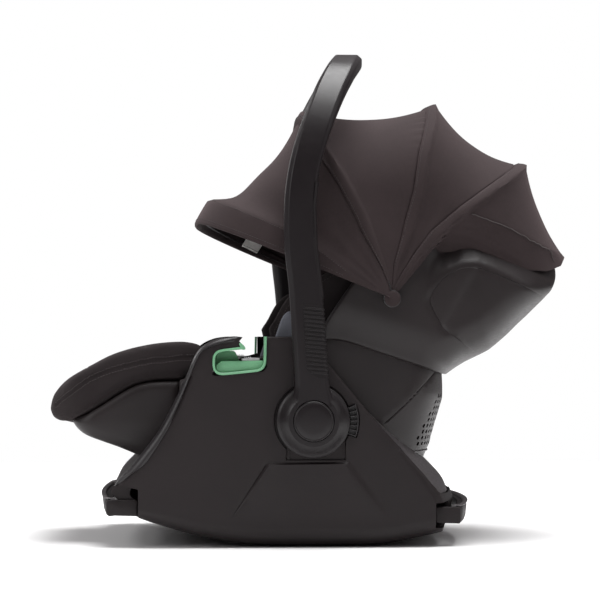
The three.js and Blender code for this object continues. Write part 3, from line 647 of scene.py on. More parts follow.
def belt_guide(side, name):
    """Green liner of the belt slot: a wall through the slot with a lip outside."""
    line = [(-84, 233.8), (-113, 230.5), (-119, 226), (-119.5, 210), (-114, 203.8), (-66, 208.5),
            (-60.5, 214), (-59.8, 247.5)]
    line = np.array(line, float)
    path = []
    for k, q in enumerate(line):
        if k in (0, len(line) - 1):
            path.append(q)
            continue
        a, b = line[k - 1] - q, line[k + 1] - q
        a = q + a * min(7 / np.linalg.norm(a), 0.45)
        b = q + b * min(7 / np.linalg.norm(b), 0.45)
        path += [(1 - t) ** 2 * a + 2 * t * (1 - t) * q + t * t * b for t in np.linspace(0, 1, 6)]
    path = even(path, 2.5)
    n = normals(path, closed=False)
    # offsets to the open side of the slot, and y
    section = [(-1.2, 168), (-1.2, 190), (-2.0, 190.6), (-2.1, 191.6), (-1.7, 192.3), (0, 192.5),
               (0.7, 192.0), (0.9, 191.0), (0.9, 168)]
    rings = np.array([[(*(q + m * a), side * y) for a, y in section] for q, m in zip(path, n)])
    rings = rings[:, :, [0, 2, 1]]
    parts = [loft(rings)]
    hook = rounded([(-90.5, 239.5), (-88.5, 240.5), (-84, 236.5), (-82.5, 233.5), (-84, 231.8),
                    (-88, 232.5)], 1.2)
    parts.append(prism(hook, side * 168, side * 192.5, 0.8))
    # the floor of the slot slopes up behind the lip
    floor = rounded([(-117, 205), (-62, 209), (-61.5, 219.5), (-88, 219), (-111, 219), (-117, 214)], 2)
    parts.append(prism(floor, side * 170, side * 186.6, 0.8))
    pocket = rounded([(-117, 206), (-92, 208), (-89, 219), (-95, 231), (-113, 229.5), (-118, 225)], 3)
    parts.append(prism(pocket, side * 168, side * 171, 0.5))
    guide = obj_of(f"belt_guide_liner_{name}", *merge(*parts), GREEN, 40)
    place(guide, "base", "guide_green", f"belt_guide_{name}")
    tooth = rounded([(-87, 219.4), (-66, 219.6), (-66, 222.4), (-83, 222.6), (-87, 221.8)], 0.8)
    teeth = [prism(tooth, side * 170.4, side * 185, 0.5)]
    for k in range(4):
        x = -84 + k * 2.2
        teeth.append(prism([(x, 222), (x + 1.4, 222), (x + 0.7, 224.4)], side * 172, side * 184, 0.1, 1))
    clamp = obj_of(f"belt_tooth_{name}", *merge(*teeth), STEEL)
    place(clamp, "base", "steel", f"belt_clamp_{name}")


def hub_seat(side, name):
    """Plate in the recess under the handle hub, its boss, and the comb of locking positions."""
    plate = RECESS + normals(RECESS) * 1.0
    parts = [prism(plate, side * 184, side * 187.6, 0.3, 1),
             lathe([(7, 184), (7, 195.2), (34, 195.2), (37.5, 194), (38.5, 184)], HUB, side, 64),
             prism([(-34, 103), (-30.8, 103), (-30.8, 117), (-34, 120)], side * 187, side * 189.4, 0.5, 2)]
    seat = obj_of(f"hub_seat_{name}", *merge(*parts), BASE)
    place(seat, "base", "base_plastic", f"hub_mount_{name}")
    band = np.vstack([arc(HUB, 52.8, -20.6, 20.6, 16), arc(HUB, 44.2, 20.6, -20.6, 16)])
    edge = np.vstack([arc(HUB, 53.6, -21.2, 21.2, 16), arc(HUB, 52.2, 21.2, -21.2, 16)])
    parts = [prism(band, side * 187.7, side * 190, 0.3, 1), prism(edge, side * 189, side * 194.6, 0.4, 2)]
    for k in range(7):
        a = -19.6 + 39.2 * k / 6
        wide = math.degrees(0.55 / 48)
        outer = arc(HUB, 52.6, a - wide, a + wide, 2)
        rib = np.vstack([outer, arc(HUB, 44, a + wide * 1.2, a - wide * 1.2, 2)])
        parts.append(prism(rib, side * 189, side * 194.9, 0.35, 2))
    mark = [(41.2, 149), (45.2, 146.8), (45.2, 151.2)]
    parts.append(prism(mark, side * 189.5, side * 192.6, 0.3, 2))
    comb = obj_of(f"index_ribs_{name}", *merge(*parts), TRIM)
    place(comb, "base", "handle_plastic", f"index_comb_{name}")


for side, name in SIDES:
    foot_rim(side, name)
    belt_guide(side, name)
    hub_seat(side, name)


def deck():
    """Satin trim between the side walls and the seat back."""
    face = even(curve([(38, 184), (76, 138), (107, 104.5), (131, 79), (139, 62)], 4), 5)
    section = np.vstack([face, [(134, 56), (126, 62), (118, 76), (98, 98), (70, 128), (34, 174)]])
    rings = []
    for y in np.linspace(-184.6, 184.6, 61):
        bow = 29 * (1 - (abs(y) / BASE_HALF) ** 3) * ramp(section[:, 0], 30, 90)
        rings.append(np.column_stack([section[:, 0] + bow, np.full(len(section), y), section[:, 1]]))
    body = obj_of("rear_deck_trim", *loft(rings), DECK, 40)
    # clear of the seat, whose back turns round to its sides
    turn = np.radians(np.linspace(-90, 90, 31))
    swept = [(178.6 - 82 * (1 - math.cos(t)), 66 * np.sign(t) + 102.4 * math.sin(t)) for t in turn]
    boolean(body, lathe([(0, -168.6)] + swept + [(0, 168.6)], RECLINE, 1, 160))
    shade(body, 40)
    return place(body, "base", "shell_plastic", "rear_deck")


deck()


def end_bar(name, face, wall, bow, z0, z1, tall, slot_name, finish):
    """A bar that bows out from the end of the base and locks into a car base or stroller."""
    way = math.copysign(1, face - wall)
    half = 177.0
    ys = np.linspace(-half, half, 41)
    body, lip = [], []
    for y in ys:
        u = abs(y) / half
        out = face + way * bow * (1 - u * u)
        corner = 7 * max(0.0, (u - 0.93) / 0.07) ** 2
        out -= way * corner
        top, low = z1, z0 + corner * 0.6
        body.append([(out - way * 1.2, y, top), (out - way * 0.3, y, top - 3),
                     (out - way * 1.6, y, low + 6), (out - way * 3.4, y, low + 1.6),
                     (out - way * 5.5, y, low), (out - way * 9.5, y, low + 0.4),
                     (out - way * 11.5, y, low + 3), (out - way * 12, y, top)])
        lip.append([(out - way * 1.1, y, top + 0.4), (out + way * 0.1, y, top + 3 * tall),
                    (out + way * 0.9, y, top + 8 * tall), (out + way * 0.4, y, top + 10 * tall),
                    (out - way * 1.4, y, top + 10.8 * tall), (out - way * 3.8, y, top + 10.2 * tall),
                    (out - way * 4.8, y, top + 7 * tall), (out - way * 5.6, y, top + 0.4)])
    arms = []
    for side in (-1, 1):
        inner = wall + way * 0.4
        edge = face - way * 1.5
        plan = rounded([(min(inner, edge), z0 + 2), (max(inner, edge), z0 + 1), (max(inner, edge), z1),
                        (min(inner, edge), z1)], 3)
        arms.append(prism(plan, side * (half - 15), side * (half + 0.8), 1.2))
    bar = obj_of(f"{name}_rail", *merge(loft(body), *arms), BASE, 40)
    place(bar, "base", "base_plastic", name)
    catch = obj_of(f"{name}_catch", *loft(lip), finish, 50)
    place(catch, "base", "handle_plastic", slot_name)


end_bar("foot_bar", -247, -208.6, 8, 36, 56, 0.28, "foot_bar_lip", DECK)
end_bar("head_bar", 173, 141.5, 22, 26, 46.5, 0.3, "head_bar_lip", DECK)


def front_wall():
    """Wall across the foot end, between the two sides."""
    face = curve([(-222, 42), (-226, 50), (-232, 56), (-239, 62), (-239, 68), (-233, 79), (-213, 98),
                  (-200, 112)], 4)
    back = face + (22, -1.6)
    wall = obj_of("front_wall", *prism(np.vstack([face, back[::-1]]), -172, 172, 0.6, 1), BASE, 40)
    place(wall, "base", "base_plastic")


front_wall()


# ---------------------------------------------------------------- carry handle
HANDLE_HALF = [(-5, 206.5, 166), (-6, 206.5, 190), (-9, 206.5, 235), (-13, 206.5, 300), (-19, 206.5, 352),
               (-20, 206.2, 400), (-16, 204.5, 437), (-8, 200.5, 470), (4, 190.5, 504), (18, 171, 537),
               (32, 139, 563), (41, 98, 577.5), (46.5, 49, 585), (48, 0, 587)]


def handle_path():
    half = curve(HANDLE_HALF, 5.0)
    return np.vstack([half * (1, -1, 1), (half[:-1])[::-1]])


def handle_section(height):
    """Across the leg: a wide front chamfer, a narrow rear one. The first number runs to the rear."""
    wide = table(height, (166, 27), (176, 23.5), (188, 20.3), (205, 19.4), (300, 19.4), (400, 18.2),
                 (580, 18))
    front = table(height, (166, 9), (180, 7), (200, 5.4), (480, 5.4), (560, 4.5))
    rear = table(height, (166, 6), (190, 4), (470, 4), (560, 5.5))
    deep = 10.5
    corners = [(-wide, deep - front * 1.15), (-wide + front, deep), (wide - rear, deep),
               (wide, deep - rear * 0.9), (wide, -deep + 5), (wide - 4, -deep), (-wide + 6, -deep),
               (-wide, -deep + 6)]
    return rounded(corners, [1.6, 1.3, 1.8, 1.8, 4, 4, 5, 5], 4)


def handle():
    path = handle_path()
    t, _, _ = frames(path, (0, 0, 1))
    out = np.stack([0 * t[:, 0], -t[:, 2], t[:, 1]], axis=1)
    out /= np.linalg.norm(out, axis=1)[:, None]
    rear = np.cross(t, out)
    rings = []
    for p, o, r in zip(path, out, rear):
        section = handle_section(p[2])
        rings.append([p + a * r + b * o for a, b in section])
    body = obj_of("carry_handle", *loft(rings), HANDLE, 36)
    for side in (-1, 1):
        hub = [(5.4, 195.6), (41.4, 195.6), (42.8, 197.2), (43, 201), (42.6, 203.2), (41.6, 204.2),
               (40.6, 204.6), (39.6, 205.4), (37, 208.6), (33.6, 212.4), (31, 214.8), (29.4, 215.9),
               (27.6, 216.5), (25.2, 216.6), (24.3, 216.1), (24.1, 215.2), (24.1, 201.5), (5.4, 201.5)]
        boolean(body, lathe([(0.01, 195.6), *hub[1:-6], (0.01, 216.5)], HUB, side, 128), "UNION")
        boolean(body, lathe([(24.1, 200.6), (24.1, 216.0), (24.9, 217.2), (26.5, 219)], HUB, side, 128))
    shade(body, 33)
    return place(body, "handle", "handle_plastic", "handle_arch")


handle()


def leg_at(z):
    """Centre of the leg in X at a height."""
    half = np.array(HANDLE_HALF)
    return float(np.interp(z, half[:, 2], half[:, 0]))


def thumb_grip(side, name):
    """Ribs moulded over the rear half of the leg, and the soft strip up its back."""
    parts = []

    def wrap(z, low, proud):
        """The line round the rear of the leg at a height, from the outer face to behind the edge."""
        x, (wide, rear) = leg_at(z), (19.4, 4.0)
        line = [(low, 217.0 + proud), (x + wide - rear - 0.6, 217.0 + proud),
                (x + wide - rear * 0.4, 217 - rear * 0.25 + proud),
                (x + wide + proud * 0.7, 217 - rear * 0.9 + proud * 0.4), (x + wide + proud, 209.5)]
        return np.array(line)

    pad = []
    for z in np.linspace(200.5, 286, 24):
        low = leg_at(z) - 5.2 + max(0.0, (207 - z)) * 2.0
        line = wrap(z, low, 0.35)
        back = wrap(z, low, -0.8)[::-1]
        pad.append([(p[0], side * p[1], z + (p[0] + 7) * -0.1) for p in np.vstack([line, back])])
    parts.append(loft(pad))
    for k in range(16):
        z = 206 + k * 4.95
        low = leg_at(z) - 4.4 + max(0.0, (208 - z)) * 2.0
        rings = []
        for dz, proud in ((-1.25, 0.2), (-1.1, 1.0), (-0.6, 1.35), (0.6, 1.35), (1.1, 1.0), (1.25, 0.2)):
            line = wrap(z, low + (1.35 - proud) * 0.6, proud)
            back = wrap(z, low, -0.4)[::-1]
            rings.append([(p[0], side * p[1], z + dz - (p[0] + 7) * 0.1)
                          for p in np.vstack([line, back])])
        parts.append(loft(rings))
    strip = []
    for z in np.linspace(292, 428, 60):
        x = leg_at(z) + table(z, (300, 19.4), (400, 18.2), (430, 18.1))
        wave = 0.5 * math.cos(z * 1.6)
        strip.append([(x - 3.2 + wave, side * 216.2, z), (x - 1.2, side * 215.6, z),
                      (x + 0.9, side * 213, z),
                      (x + 1.2, side * 206, z), (x + 0.9, side * 201, z), (x - 1.4, side * 199, z),
                      (x - 2, side * 207, z)])
    parts.append(loft(strip))
    grip = obj_of(f"thumb_ribs_{name}", *merge(*parts), GRIP, 40)
    return place(grip, "handle", "soft_grip", f"thumb_grip_{name}")


def hub_button(side, name):
    profile = [(0.01, 209), (17.6, 209), (22.9, 209), (23.5, 209.8), (23.5, 216.2), (23.2, 217),
               (22.5, 217.5), (21.9, 217.6), (21.5, 217.35), (21.2, 217.25), (20.8, 217.45), (20, 217.75),
               (14, 218.15), (7, 218.4), (0.01, 218.5)]
    cap = obj_of(f"hub_button_{name}", *lathe(profile, HUB, side, 128), HANDLE, 50)
    place(cap, f"handle_button_{name}", "handle_plastic", f"handle_button_{name}")
    turns = np.radians(np.linspace(0, 360 * 4.5, 150))
    ys = np.linspace(201.8, 208, 150)
    coil = np.stack([HUB[0] + 11 * np.cos(turns), side * ys, HUB[1] + 11 * np.sin(turns)], axis=1)
    spring = obj_of(f"button_coil_{name}", *sweep(coil, circle(0.55, 8), (0, 1, 0)), STEEL, 60)
    place(spring, "handle", "steel", f"button_spring_{name}")
    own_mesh(spring)


for side, name in SIDES:
    thumb_grip(side, name)
    hub_button(side, name)


# ---------------------------------------------------------------- seat shells
def inset(ring, n, amount):
    """The ring moved inwards, where points that would fold over in a corner are gathered into one."""
    q = ring + n * amount
    good = distance(q, ring, True) > amount - 0.06
    if amount < 0.2 or good.all():
        return q
    count = len(q)
    start = int(np.argmax(good))
    k = start
    while k < start + count:
        if good[k % count]:
            k += 1
            continue
        end = k
        while not good[end % count]:
            end += 1
        middle = (q[(k - 1) % count] + q[end % count]) / 2
        for m in range(k, end):
            q[m % count] = middle
        k = end
    return q


def pillow(outline, height, width, steps=6, lines=(), relief=None, spacing=5.0):
    """A solid with a side outline, whose half width at (x, z) is height(p), and edges rounded by width."""
    ring = even(outline, 4.0, True)
    n = normals(ring)
    flat = height(ring) - width
    near = [at_y(ring, flat * s) for s in (0.0, 0.5, 1.0)]
    for a in np.linspace(0, math.pi / 2, steps + 1)[1:]:
        q = inset(ring, n, width * (1 - math.cos(a)))
        near.append(at_y(q, height(q) - width * (1 - math.sin(a))))
    skin = loft([r * (1, -1, 1) for r in reversed(near[1:])] + near, caps=False)
    last = near[-1][:, [0, 2]]
    last = last[np.linalg.norm(last - np.roll(last, 1, 0), axis=1) > 1e-6]
    spots, faces = patch(last, spacing, lines)
    y = height(spots)
    if relief:
        y = y + relief(spots) * ramp(distance(spots, last, True), 0, 6)
    rim = distance(spots, last, True) < 0.01
    y[rim] = height(spots[rim])
    side = at_y(spots, y), faces
    return merge(skin, side, mirrored(side))


def drum_height(half, radius):
    """Half width of the round-shouldered space that the folding canopy leaves free."""
    def height(p):
        r = np.hypot(p[:, 0] - HOOD[0], p[:, 1] - HOOD[1])
        angle = np.degrees(np.arctan2(p[:, 1] - HOOD[1], p[:, 0] - HOOD[0]))
        corner = 117.0 - 57.0 * ramp(-angle, 4, 28)
        t = np.clip((r - (radius - corner)) / corner, 0, 0.985)
        return half - corner * (1 - np.sqrt(1 - t * t))
    return height


def foot_shell():
    under = [(-156, 78), (-190, 97), (-227, 114), (-256, 124), (-274, 131), (-284, 140), (-288, 148)]
    top = [(-285, 151), (-260, 165), (-231, 183.5), (-214, 193), (-195, 197.5), (-156, 198)]
    outline = rounded(under + top, [1, 30, 30, 30, 14, 8, 2, 2, 20, 20, 20, 14, 1])

    def height(p):
        return 138 - 10 * ramp(-p[:, 0], 262, 292) - 5 * ramp(-p[:, 1], -150, -95)
    shell = obj_of("foot_shell_body", *pillow(outline, height, 13), SHELL, 34)
    inner = rounded([(-150, 82), (-188, 102), (-226, 119), (-254, 129), (-270, 136), (-279, 146),
                     (-281, 300), (-150, 300)], [1, 20, 20, 20, 10, 4, 1, 1])
    boolean(shell, pillow(inner, lambda p: height(p) - 4, 9))
    shade(shell, 34)
    return place(shell, "seat", "shell_plastic", "foot_shell")


foot_shell()

TUB = [(143, 111), (122, 85.5), (98, 66.5), (70, 53.5), (0, 42), (-50, 44), (-100, 52), (-160, 78),
       (-160, 196), (-100, 214), (-30, 234), (24, 249), (30, 249), (76, 234), (140, 214), (156, 208),
       (160.5, 173), (152, 143)]
TUB_INNER = [(138, 113), (118, 88.5), (95, 70.5), (68, 57.5), (0, 46.5), (-50, 48.5), (-99, 56.5),
             (-156, 81), (-156, 300), (154, 300), (154, 200), (155, 174), (147, 144)]
BACK_LINE = [(140, 104), (152, 143), (161, 173), (162, 206)]
COVER_SEAM = [(84, 146), (104, 164), (125, 186), (143, 204), (152, 214)]


TURN = (46.0, 100.0)                    # how deep and how wide the back curves round to the side


def turn_depth(z):
    """The lower the back, the rounder it is in plan."""
    return TURN[0] + 40 * (1 - ramp(np.asarray(z, float), 112, 185))


def tub_height(p):
    away = distance(p, BACK_LINE)
    rear = TURN[1] * (1 - np.sqrt(1 - np.clip(1 - away / turn_depth(p[:, 1]), 0, 0.995) ** 2))
    return 166 - rear - 4 * ramp(-p[:, 1], -110, -50)


def tub_relief(p):
    """The back cover stands proud behind its seam, with a soft swage in front of it."""
    cover = (p[:, 1] - np.interp(p[:, 0], *zip(*COVER_SEAM))) < 0
    seam = distance(p, COVER_SEAM)
    step = np.where(cover & (p[:, 0] > 70), np.clip(seam / 1.2, 0, 1), 0)
    swage = np.exp(-((p[:, 0] - 0.25 * (p[:, 1] - 150) - 112) / 11) ** 2) * (~cover)
    return 1.1 * step - 0.9 * np.exp(-(seam / 0.9) ** 2) + 1.6 * swage


def back_spot(z, y):
    """Point and direction on the back of the tub at a height and place across it."""
    x = float(np.interp(z, [q[1] for q in BACK_LINE], [q[0] for q in BACK_LINE]))
    start = 166 - TURN[1]
    turn = min(1.45, max(0.0, abs(y) - start) / (TURN[1] * 0.72))
    deep, wide = float(turn_depth(z)), TURN[1]
    across = start + wide * math.sin(turn) if turn else abs(y)
    spot = Vector((x - deep * (1 - math.cos(turn)), math.copysign(across, y), z))
    lean = math.radians(17)
    out = Vector((math.cos(turn) / deep, math.copysign(math.sin(turn) / wide, y),
                  -math.sin(lean) * math.cos(turn) / deep))
    return spot, out.normalized()


def seat_tub():
    lines = [np.array(COVER_SEAM) + s * np.array([0.7, -0.7]) for s in (-1.8, -0.9, 0, 0.9, 1.8)]
    shape = rounded(TUB, [8, 30, 30, 40, 50, 50, 40, 2, 2, 60, 60, 6, 6, 40, 12, 3, 20, 20])
    form = pillow(shape, tub_height, 4, lines=[even(q, 2) for q in lines], relief=tub_relief)
    tub = obj_of("seat_tub_body", *form, SHELL, 34)
    inner = rounded(TUB_INNER, [6, 30, 30, 40, 50, 50, 30, 2, 1, 1, 4, 10, 10])
    boolean(tub, pillow(inner, lambda p: tub_height(p) - 4.2, 6))
    boolean(tub, prism(rounded([(-172, 86), (-150, 86), (-150, 300), (-172, 300)], 1), -133, 133, 0.5, 1))
    shade(tub, 34)
    holes = []
    for row in range(9):
        z = 119 + row * 7.2
        for k in range(-19, 20):
            y = (k + 0.5 * (row % 2)) * 8.2
            if abs(y) > 122:
                continue
            spot, out = back_spot(z, y)
            side = out.cross(Vector((0, 0, 1))).normalized()
            top = side.cross(out)
            ends = [[spot + out * d + side * (3.0 * math.cos(t)) + top * (2.8 * math.sin(t))
                     for t in np.radians(np.arange(0, 360, 60))] for d in (-8, 5)]
            holes.append(loft(ends))
    boolean(tub, merge(*holes))
    boolean(tub, prism(rounded([(136, 178), (190, 178), (190, 196), (136, 196)], 2), -42, 42, 1))
    shade(tub, 34)
    place(tub, "seat", "shell_plastic", "seat_tub")
    lip = []
    for y in np.linspace(-158, 158, 80):
        spot, out = back_spot(110.0, y)
        lip.append(spot + out * 0.3)
    lip = obj_of("back_cover_lip", *sweep([tuple(p) for p in lip], circle(1.1, 10)), DECK, 60)
    place(lip, "seat", "shell_plastic")
    return tub


tub = seat_tub()

HEAD = [(0, 241.5), (12, 266), (29, 291), (43, 311), (66, 338), (100, 362), (150, 377), (200, 380),
        (255, 368), (298, 336), (297, 322), (293, 312), (284, 297), (263, 273), (239, 251), (215, 231.5),
        (187, 218), (172, 209), (163.5, 201), (144, 206), (76, 228), (28, 244.6)]
HEAD_SEAM = [(0, 241), (28, 244.6), (76, 228), (144, 206), (164, 201)]
HEAD_REAR = [(163, 190), (166, 202), (187, 216), (215, 229), (239, 250), (263, 273), (284, 297)]
INLAY = [(157, 252), (145, 267), (136, 284), (135, 293), (143, 308), (156, 321), (174, 329), (192, 329.5),
         (210, 324), (227, 317), (262, 302), (290, 288), (263, 262), (239, 240), (215, 219)]
drum_side = drum_height(178, 231)


def head_height(p):
    """Half width of the head shell, which draws in towards the seam with the tub."""
    away = distance(p, HEAD_REAR)
    rear = TURN[1] * (1 - np.sqrt(1 - np.clip(1 - away / TURN[0], 0, 0.995) ** 2))
    rear *= 1 - ramp(p[:, 1], 255, 325)
    return drum_side(p) + head_lean(p) - 7 * (1 - ramp(distance(p, HEAD_SEAM), -4, 46)) - rear


def head_lean(p):
    """The shoulder of the side leans in towards the canopy."""
    line = np.interp(p[:, 0], [100, 135, 143, 156, 174, 192, 210, 227, 262, 300],
                     [322, 300, 310, 322, 330, 330.5, 325, 318, 303, 287])
    above = np.clip(p[:, 1] - line, 0, 60)
    return -0.78 * (np.hypot(above, 3) - 3) * ramp(p[:, 0], 122, 166)


def head_relief(p):
    """A sunk panel on the side, below the leaning shoulder."""
    away = distance(p, curve(INLAY, 4, True), True)
    panel = np.where(inside(p, curve(INLAY, 4, True)), np.clip(away / 1.3, 0, 1), 0)
    fade = ramp(p[:, 0] - 0.6 * (p[:, 1] - 250), 138, 148)
    groove = np.exp(-((away - 0.4) / 0.8) ** 2)
    return -1.2 * panel * fade - 1.5 * groove * ramp(p[:, 1], 244, 256)


def head_shell():
    shape = rounded(HEAD, [8, 20, 20, 20, 20, 30, 40, 40, 30, 16, 6, 20, 20, 30, 30, 20, 20, 8, 6, 12, 30,
                           20])
    panel = curve(INLAY, 2, True)
    lines = [panel + normals(panel) * d for d in (-0.8, 0, 0.7, 1.4)]
    form = pillow(shape, head_height, 4, lines=lines, relief=head_relief, spacing=4.5)
    shell = obj_of("head_shell_body", *form, SHELL, 30)
    inner = [(158, 190), (161, 210), (168, 214), (184, 222), (212, 235), (235, 255.5), (258, 278),
             (279, 302), (288, 316), (291, 420), (-40, 420), (-40, 190)]
    shape = rounded(inner, [2, 10, 10, 20, 30, 30, 30, 30, 10, 1, 1, 1])
    hollow = pillow(shape, lambda p: head_height(p) - 4.4, 4)
    boolean(shell, hollow)
    shade(shell, 30)
    return place(shell, "seat", "shell_plastic", "head_shell")


head_shell()


# ---------------------------------------------------------------- soft goods
CLOTH_FRAMES = 20


def inflate(obj, voxel, pressure, cap):
    """Cloth under pressure swells the closed form of obj, which is then subdivided."""
    mod = obj.modifiers.new("even", "REMESH")
    mod.mode = "VOXEL"
    mod.voxel_size = voxel * MM
    apply(obj)
    mod = obj.modifiers.new("soft", "SMOOTH")
    mod.factor = 0.5
    mod.iterations = 2
    apply(obj)
    scene = bpy.context.scene
    scene.frame_set(1)
    cloth = obj.modifiers.new("cloth", "CLOTH")
    cloth.settings.use_pressure = True
    cloth.settings.uniform_pressure_force = pressure
    cloth.settings.quality = 5
    cloth.settings.mass = 0.3
    cloth.settings.tension_stiffness = 15
    cloth.settings.compression_stiffness = 15
    cloth.settings.bending_stiffness = 0.5
    cloth.settings.effector_weights.gravity = 0
    rest = np.array([v.co for v in obj.data.vertices])
    for frame_at in range(1, CLOTH_FRAMES + 1):
        scene.frame_set(frame_at)
    graph = bpy.context.evaluated_depsgraph_get()
    moved = np.array([v.co for v in obj.evaluated_get(graph).data.vertices])
    obj.modifiers.clear()
    step = moved - rest
    step -= step.mean(0)
    size = np.linalg.norm(step, axis=1)[:, None] + 1e-12
    step *= np.minimum(1, cap * MM / size)
    obj.data.vertices.foreach_set("co", (rest + step).ravel())
    scene.frame_set(1)
    mod = obj.modifiers.new("fine", "SUBSURF")
    mod.levels = mod.render_levels = 1
    apply(obj)
    obj.data.shade_smooth()
    return obj


def tree_of(obj):
    bm = bmesh.new()
    bm.from_mesh(obj.data)
    tree = BVHTree.FromBMesh(bm)
    bm.free()
    return tree


def onto(tree, points, lift=0.0):
    """Points moved onto a surface, and its normals there."""
    spots, ups = [], []
    for p in points:
        spot, normal, _, _ = tree.find_nearest(Vector(p) * MM)
        spots.append(np.array(spot + normal * lift * MM) / MM)
        ups.append(np.array(normal))
    return np.array(spots), np.array(ups)


def furrow(obj, path, width=2.2, depth=1.6):
    """Presses a seam line into a surface."""
    path = even(onto(tree_of(obj), path)[0], 4)
    mesh = obj.data
    co = np.array([v.co for v in mesh.vertices]) / MM
    normal = np.array([v.normal for v in mesh.vertices])
    away = distance(co, path)
    co -= normal * (depth * np.exp(-(away / width) ** 2))[:, None]
    mesh.vertices.foreach_set("co", (co * MM).ravel())
    mesh.update()


def stitches(name, obj, path, pitch=3.6, length=2.3, thick=0.42, lift=0.25):
    """A row of sewn stitches along a line on a surface."""
    tree = tree_of(obj)
    line = even(path, pitch)
    spots, ups = onto(tree, line, lift)
    along = np.gradient(spots, axis=0)
    along /= np.linalg.norm(along, axis=1)[:, None] + 1e-9
    parts = []
    for p, up, t in zip(spots, ups, along):
        if random.random() < 0.015:
            continue
        side = np.cross(t, up)
        rings = []
        for s, r in ((-0.5, 0.35), (-0.38, 0.9), (0, 1.0), (0.38, 0.9), (0.5, 0.35)):
            dip = -abs(s) * thick * 0.9
            rings.append([p + t * length * s + up * dip + thick * r * (side * math.cos(a) + up * math.sin(a))
                          for a in np.radians(np.arange(0, 360, 60))])
        parts.append(loft(rings))
    return obj_of(name, *merge(*parts), THREAD, 80)


def back_point(along, off):
    a = math.radians(38)
    return (60 + along * math.cos(a) - off * math.sin(a), 150 + along * math.sin(a) + off * math.cos(a))


def soft(name, part, finish, body, slot, nodes, voxel=5.0, cap=5.0, fill=0.6, pressure=4.0):
    made = inflate(obj_of(name, *part, finish), voxel, pressure, cap)
    place(made, body, slot, *nodes)
    return made


def ride_all(body, slot, *objs):
    for o in objs:
        place(o, body, slot)


def leg_pad():
    top = curve([(-316, 156), (-311, 174), (-294, 192), (-265, 209), (-235, 224), (-197, 234),
                 (-158, 237.5), (-136, 235)], 4)
    outline = np.vstack([top, [(-122, 226), (-116, 210), (-157, 196), (-180, 196), (-196, 195),
                               (-215, 190), (-232, 180), (-261, 161), (-283, 149), (-291, 144),
                               (-299, 142), (-312, 146)]])

    def height(p):
        tip = ramp(-p[:, 0], 262, 318)
        return 144 - 34 * tip * tip - 3 * ramp(p[:, 1], 205, 235)
    form = pillow(outline, height, 9, steps=4, spacing=9)
    pad = soft("leg_pad_cover", form, KNIT, "seat", "seat_fabric", ("leg_pad",), 4.5, 4.0, 0.7)
    seam = curve([(-311, 166), (-290, 182), (-266, 197), (-245, 206), (-220, 213.5), (-190, 219.5),
                  (-136, 224)], 5)
    rows = []
    for side in (-1, 1):
        line = at_y(seam, side * (height(seam) + 4))
        furrow(pad, line, 1.7, 1.5)
        for dz in (-2.6, 2.6):
            rows.append(stitches(f"leg_pad_stitch_{len(rows)}", pad, line + (0, 0, dz)))
    for x0 in (-266, -200):
        across = [(x0 - 8 * (1 - (y / 135) ** 2), y, 300) for y in np.linspace(-132, 132, 50)]
        across = [(x, y, float(np.interp(x, seam[:, 0], seam[:, 1])) + 12) for x, y, _ in across]
        furrow(pad, across, 1.7, 1.4)
        rows.append(stitches(f"leg_pad_stitch_{len(rows)}", pad, np.array(across) + (3, 0, 1.5)))
    ride_all("seat", "seat_fabric", *rows)
    return pad


leg_pad()


def cushions():
    seat = [(-108, 211), (-78, 168), (-40, 136), (0, 124), (36, 130), (60, 145), (72, 131), (44, 106),
            (0, 98), (-48, 110), (-91, 148), (-119, 192)]
    form = pillow(rounded(seat, 12), lambda p: np.full(len(p), 149.0), 7, spacing=9)
    pad = soft("seat_cushion_cover", form, KNIT, "seat", "seat_fabric", ("seat_cushion",), 5.0, 5.0)
    rows = []
    for y in (-96, 96):
        line = [(x, y, z) for x, z in curve([(-100, 206), (-74, 172), (-38, 140), (0, 128), (34, 134)], 6)]
        furrow(pad, line, 2.4, 2.2)
        rows.append(stitches(f"seat_stitch_{len(rows)}", pad, np.array(line) + (0, 3, 0)))
    for x, z in ((-84, 180), (-44, 146)):
        line = [(x, y, z + 6) for y in np.linspace(-94, 94, 30)]
        furrow(pad, line, 2.2, 1.8)
    back = [back_point(*q) for q in ((8, -1), (60, 2), (140, 3.5), (225, 1), (250, 2), (248, -12),
                                     (140, -10), (100, -10), (60, -17), (18, -17))]
    form = pillow(rounded(back, 10), lambda p: 137 - 9 * ramp(-p[:, 1], -236, -200), 6, spacing=9)
    rest = soft("back_cushion_cover", form, KNIT, "seat", "seat_fabric", ("back_cushion",), 5.0, 4.0)
    for y in (-88, 88):
        line = [(back_point(a, 6)[0], y, back_point(a, 6)[1]) for a in np.linspace(14, 240, 40)]
        furrow(rest, line, 2.4, 2.0)
        rows.append(stitches(f"back_stitch_{len(rows)}", rest, np.array(line) + (0, 3, 0)))
    for a in (46, 92):
        line = [(back_point(a, 6)[0], y, back_point(a, 6)[1]) for y in np.linspace(-86, 86, 30)]
        furrow(rest, line, 2.2, 1.6)
    ride_all("seat", "seat_fabric", *rows)


cushions()


def hold_in(points, limit):
    """Points pulled in towards the canopy pivot, to stay clear of the folding canopy."""
    p = np.array(points, float)
    d = p - HOOD
    r = np.linalg.norm(d, axis=1)[:, None]
    return np.array(HOOD) + d * np.minimum(1, limit / np.maximum(r, 1e-9))


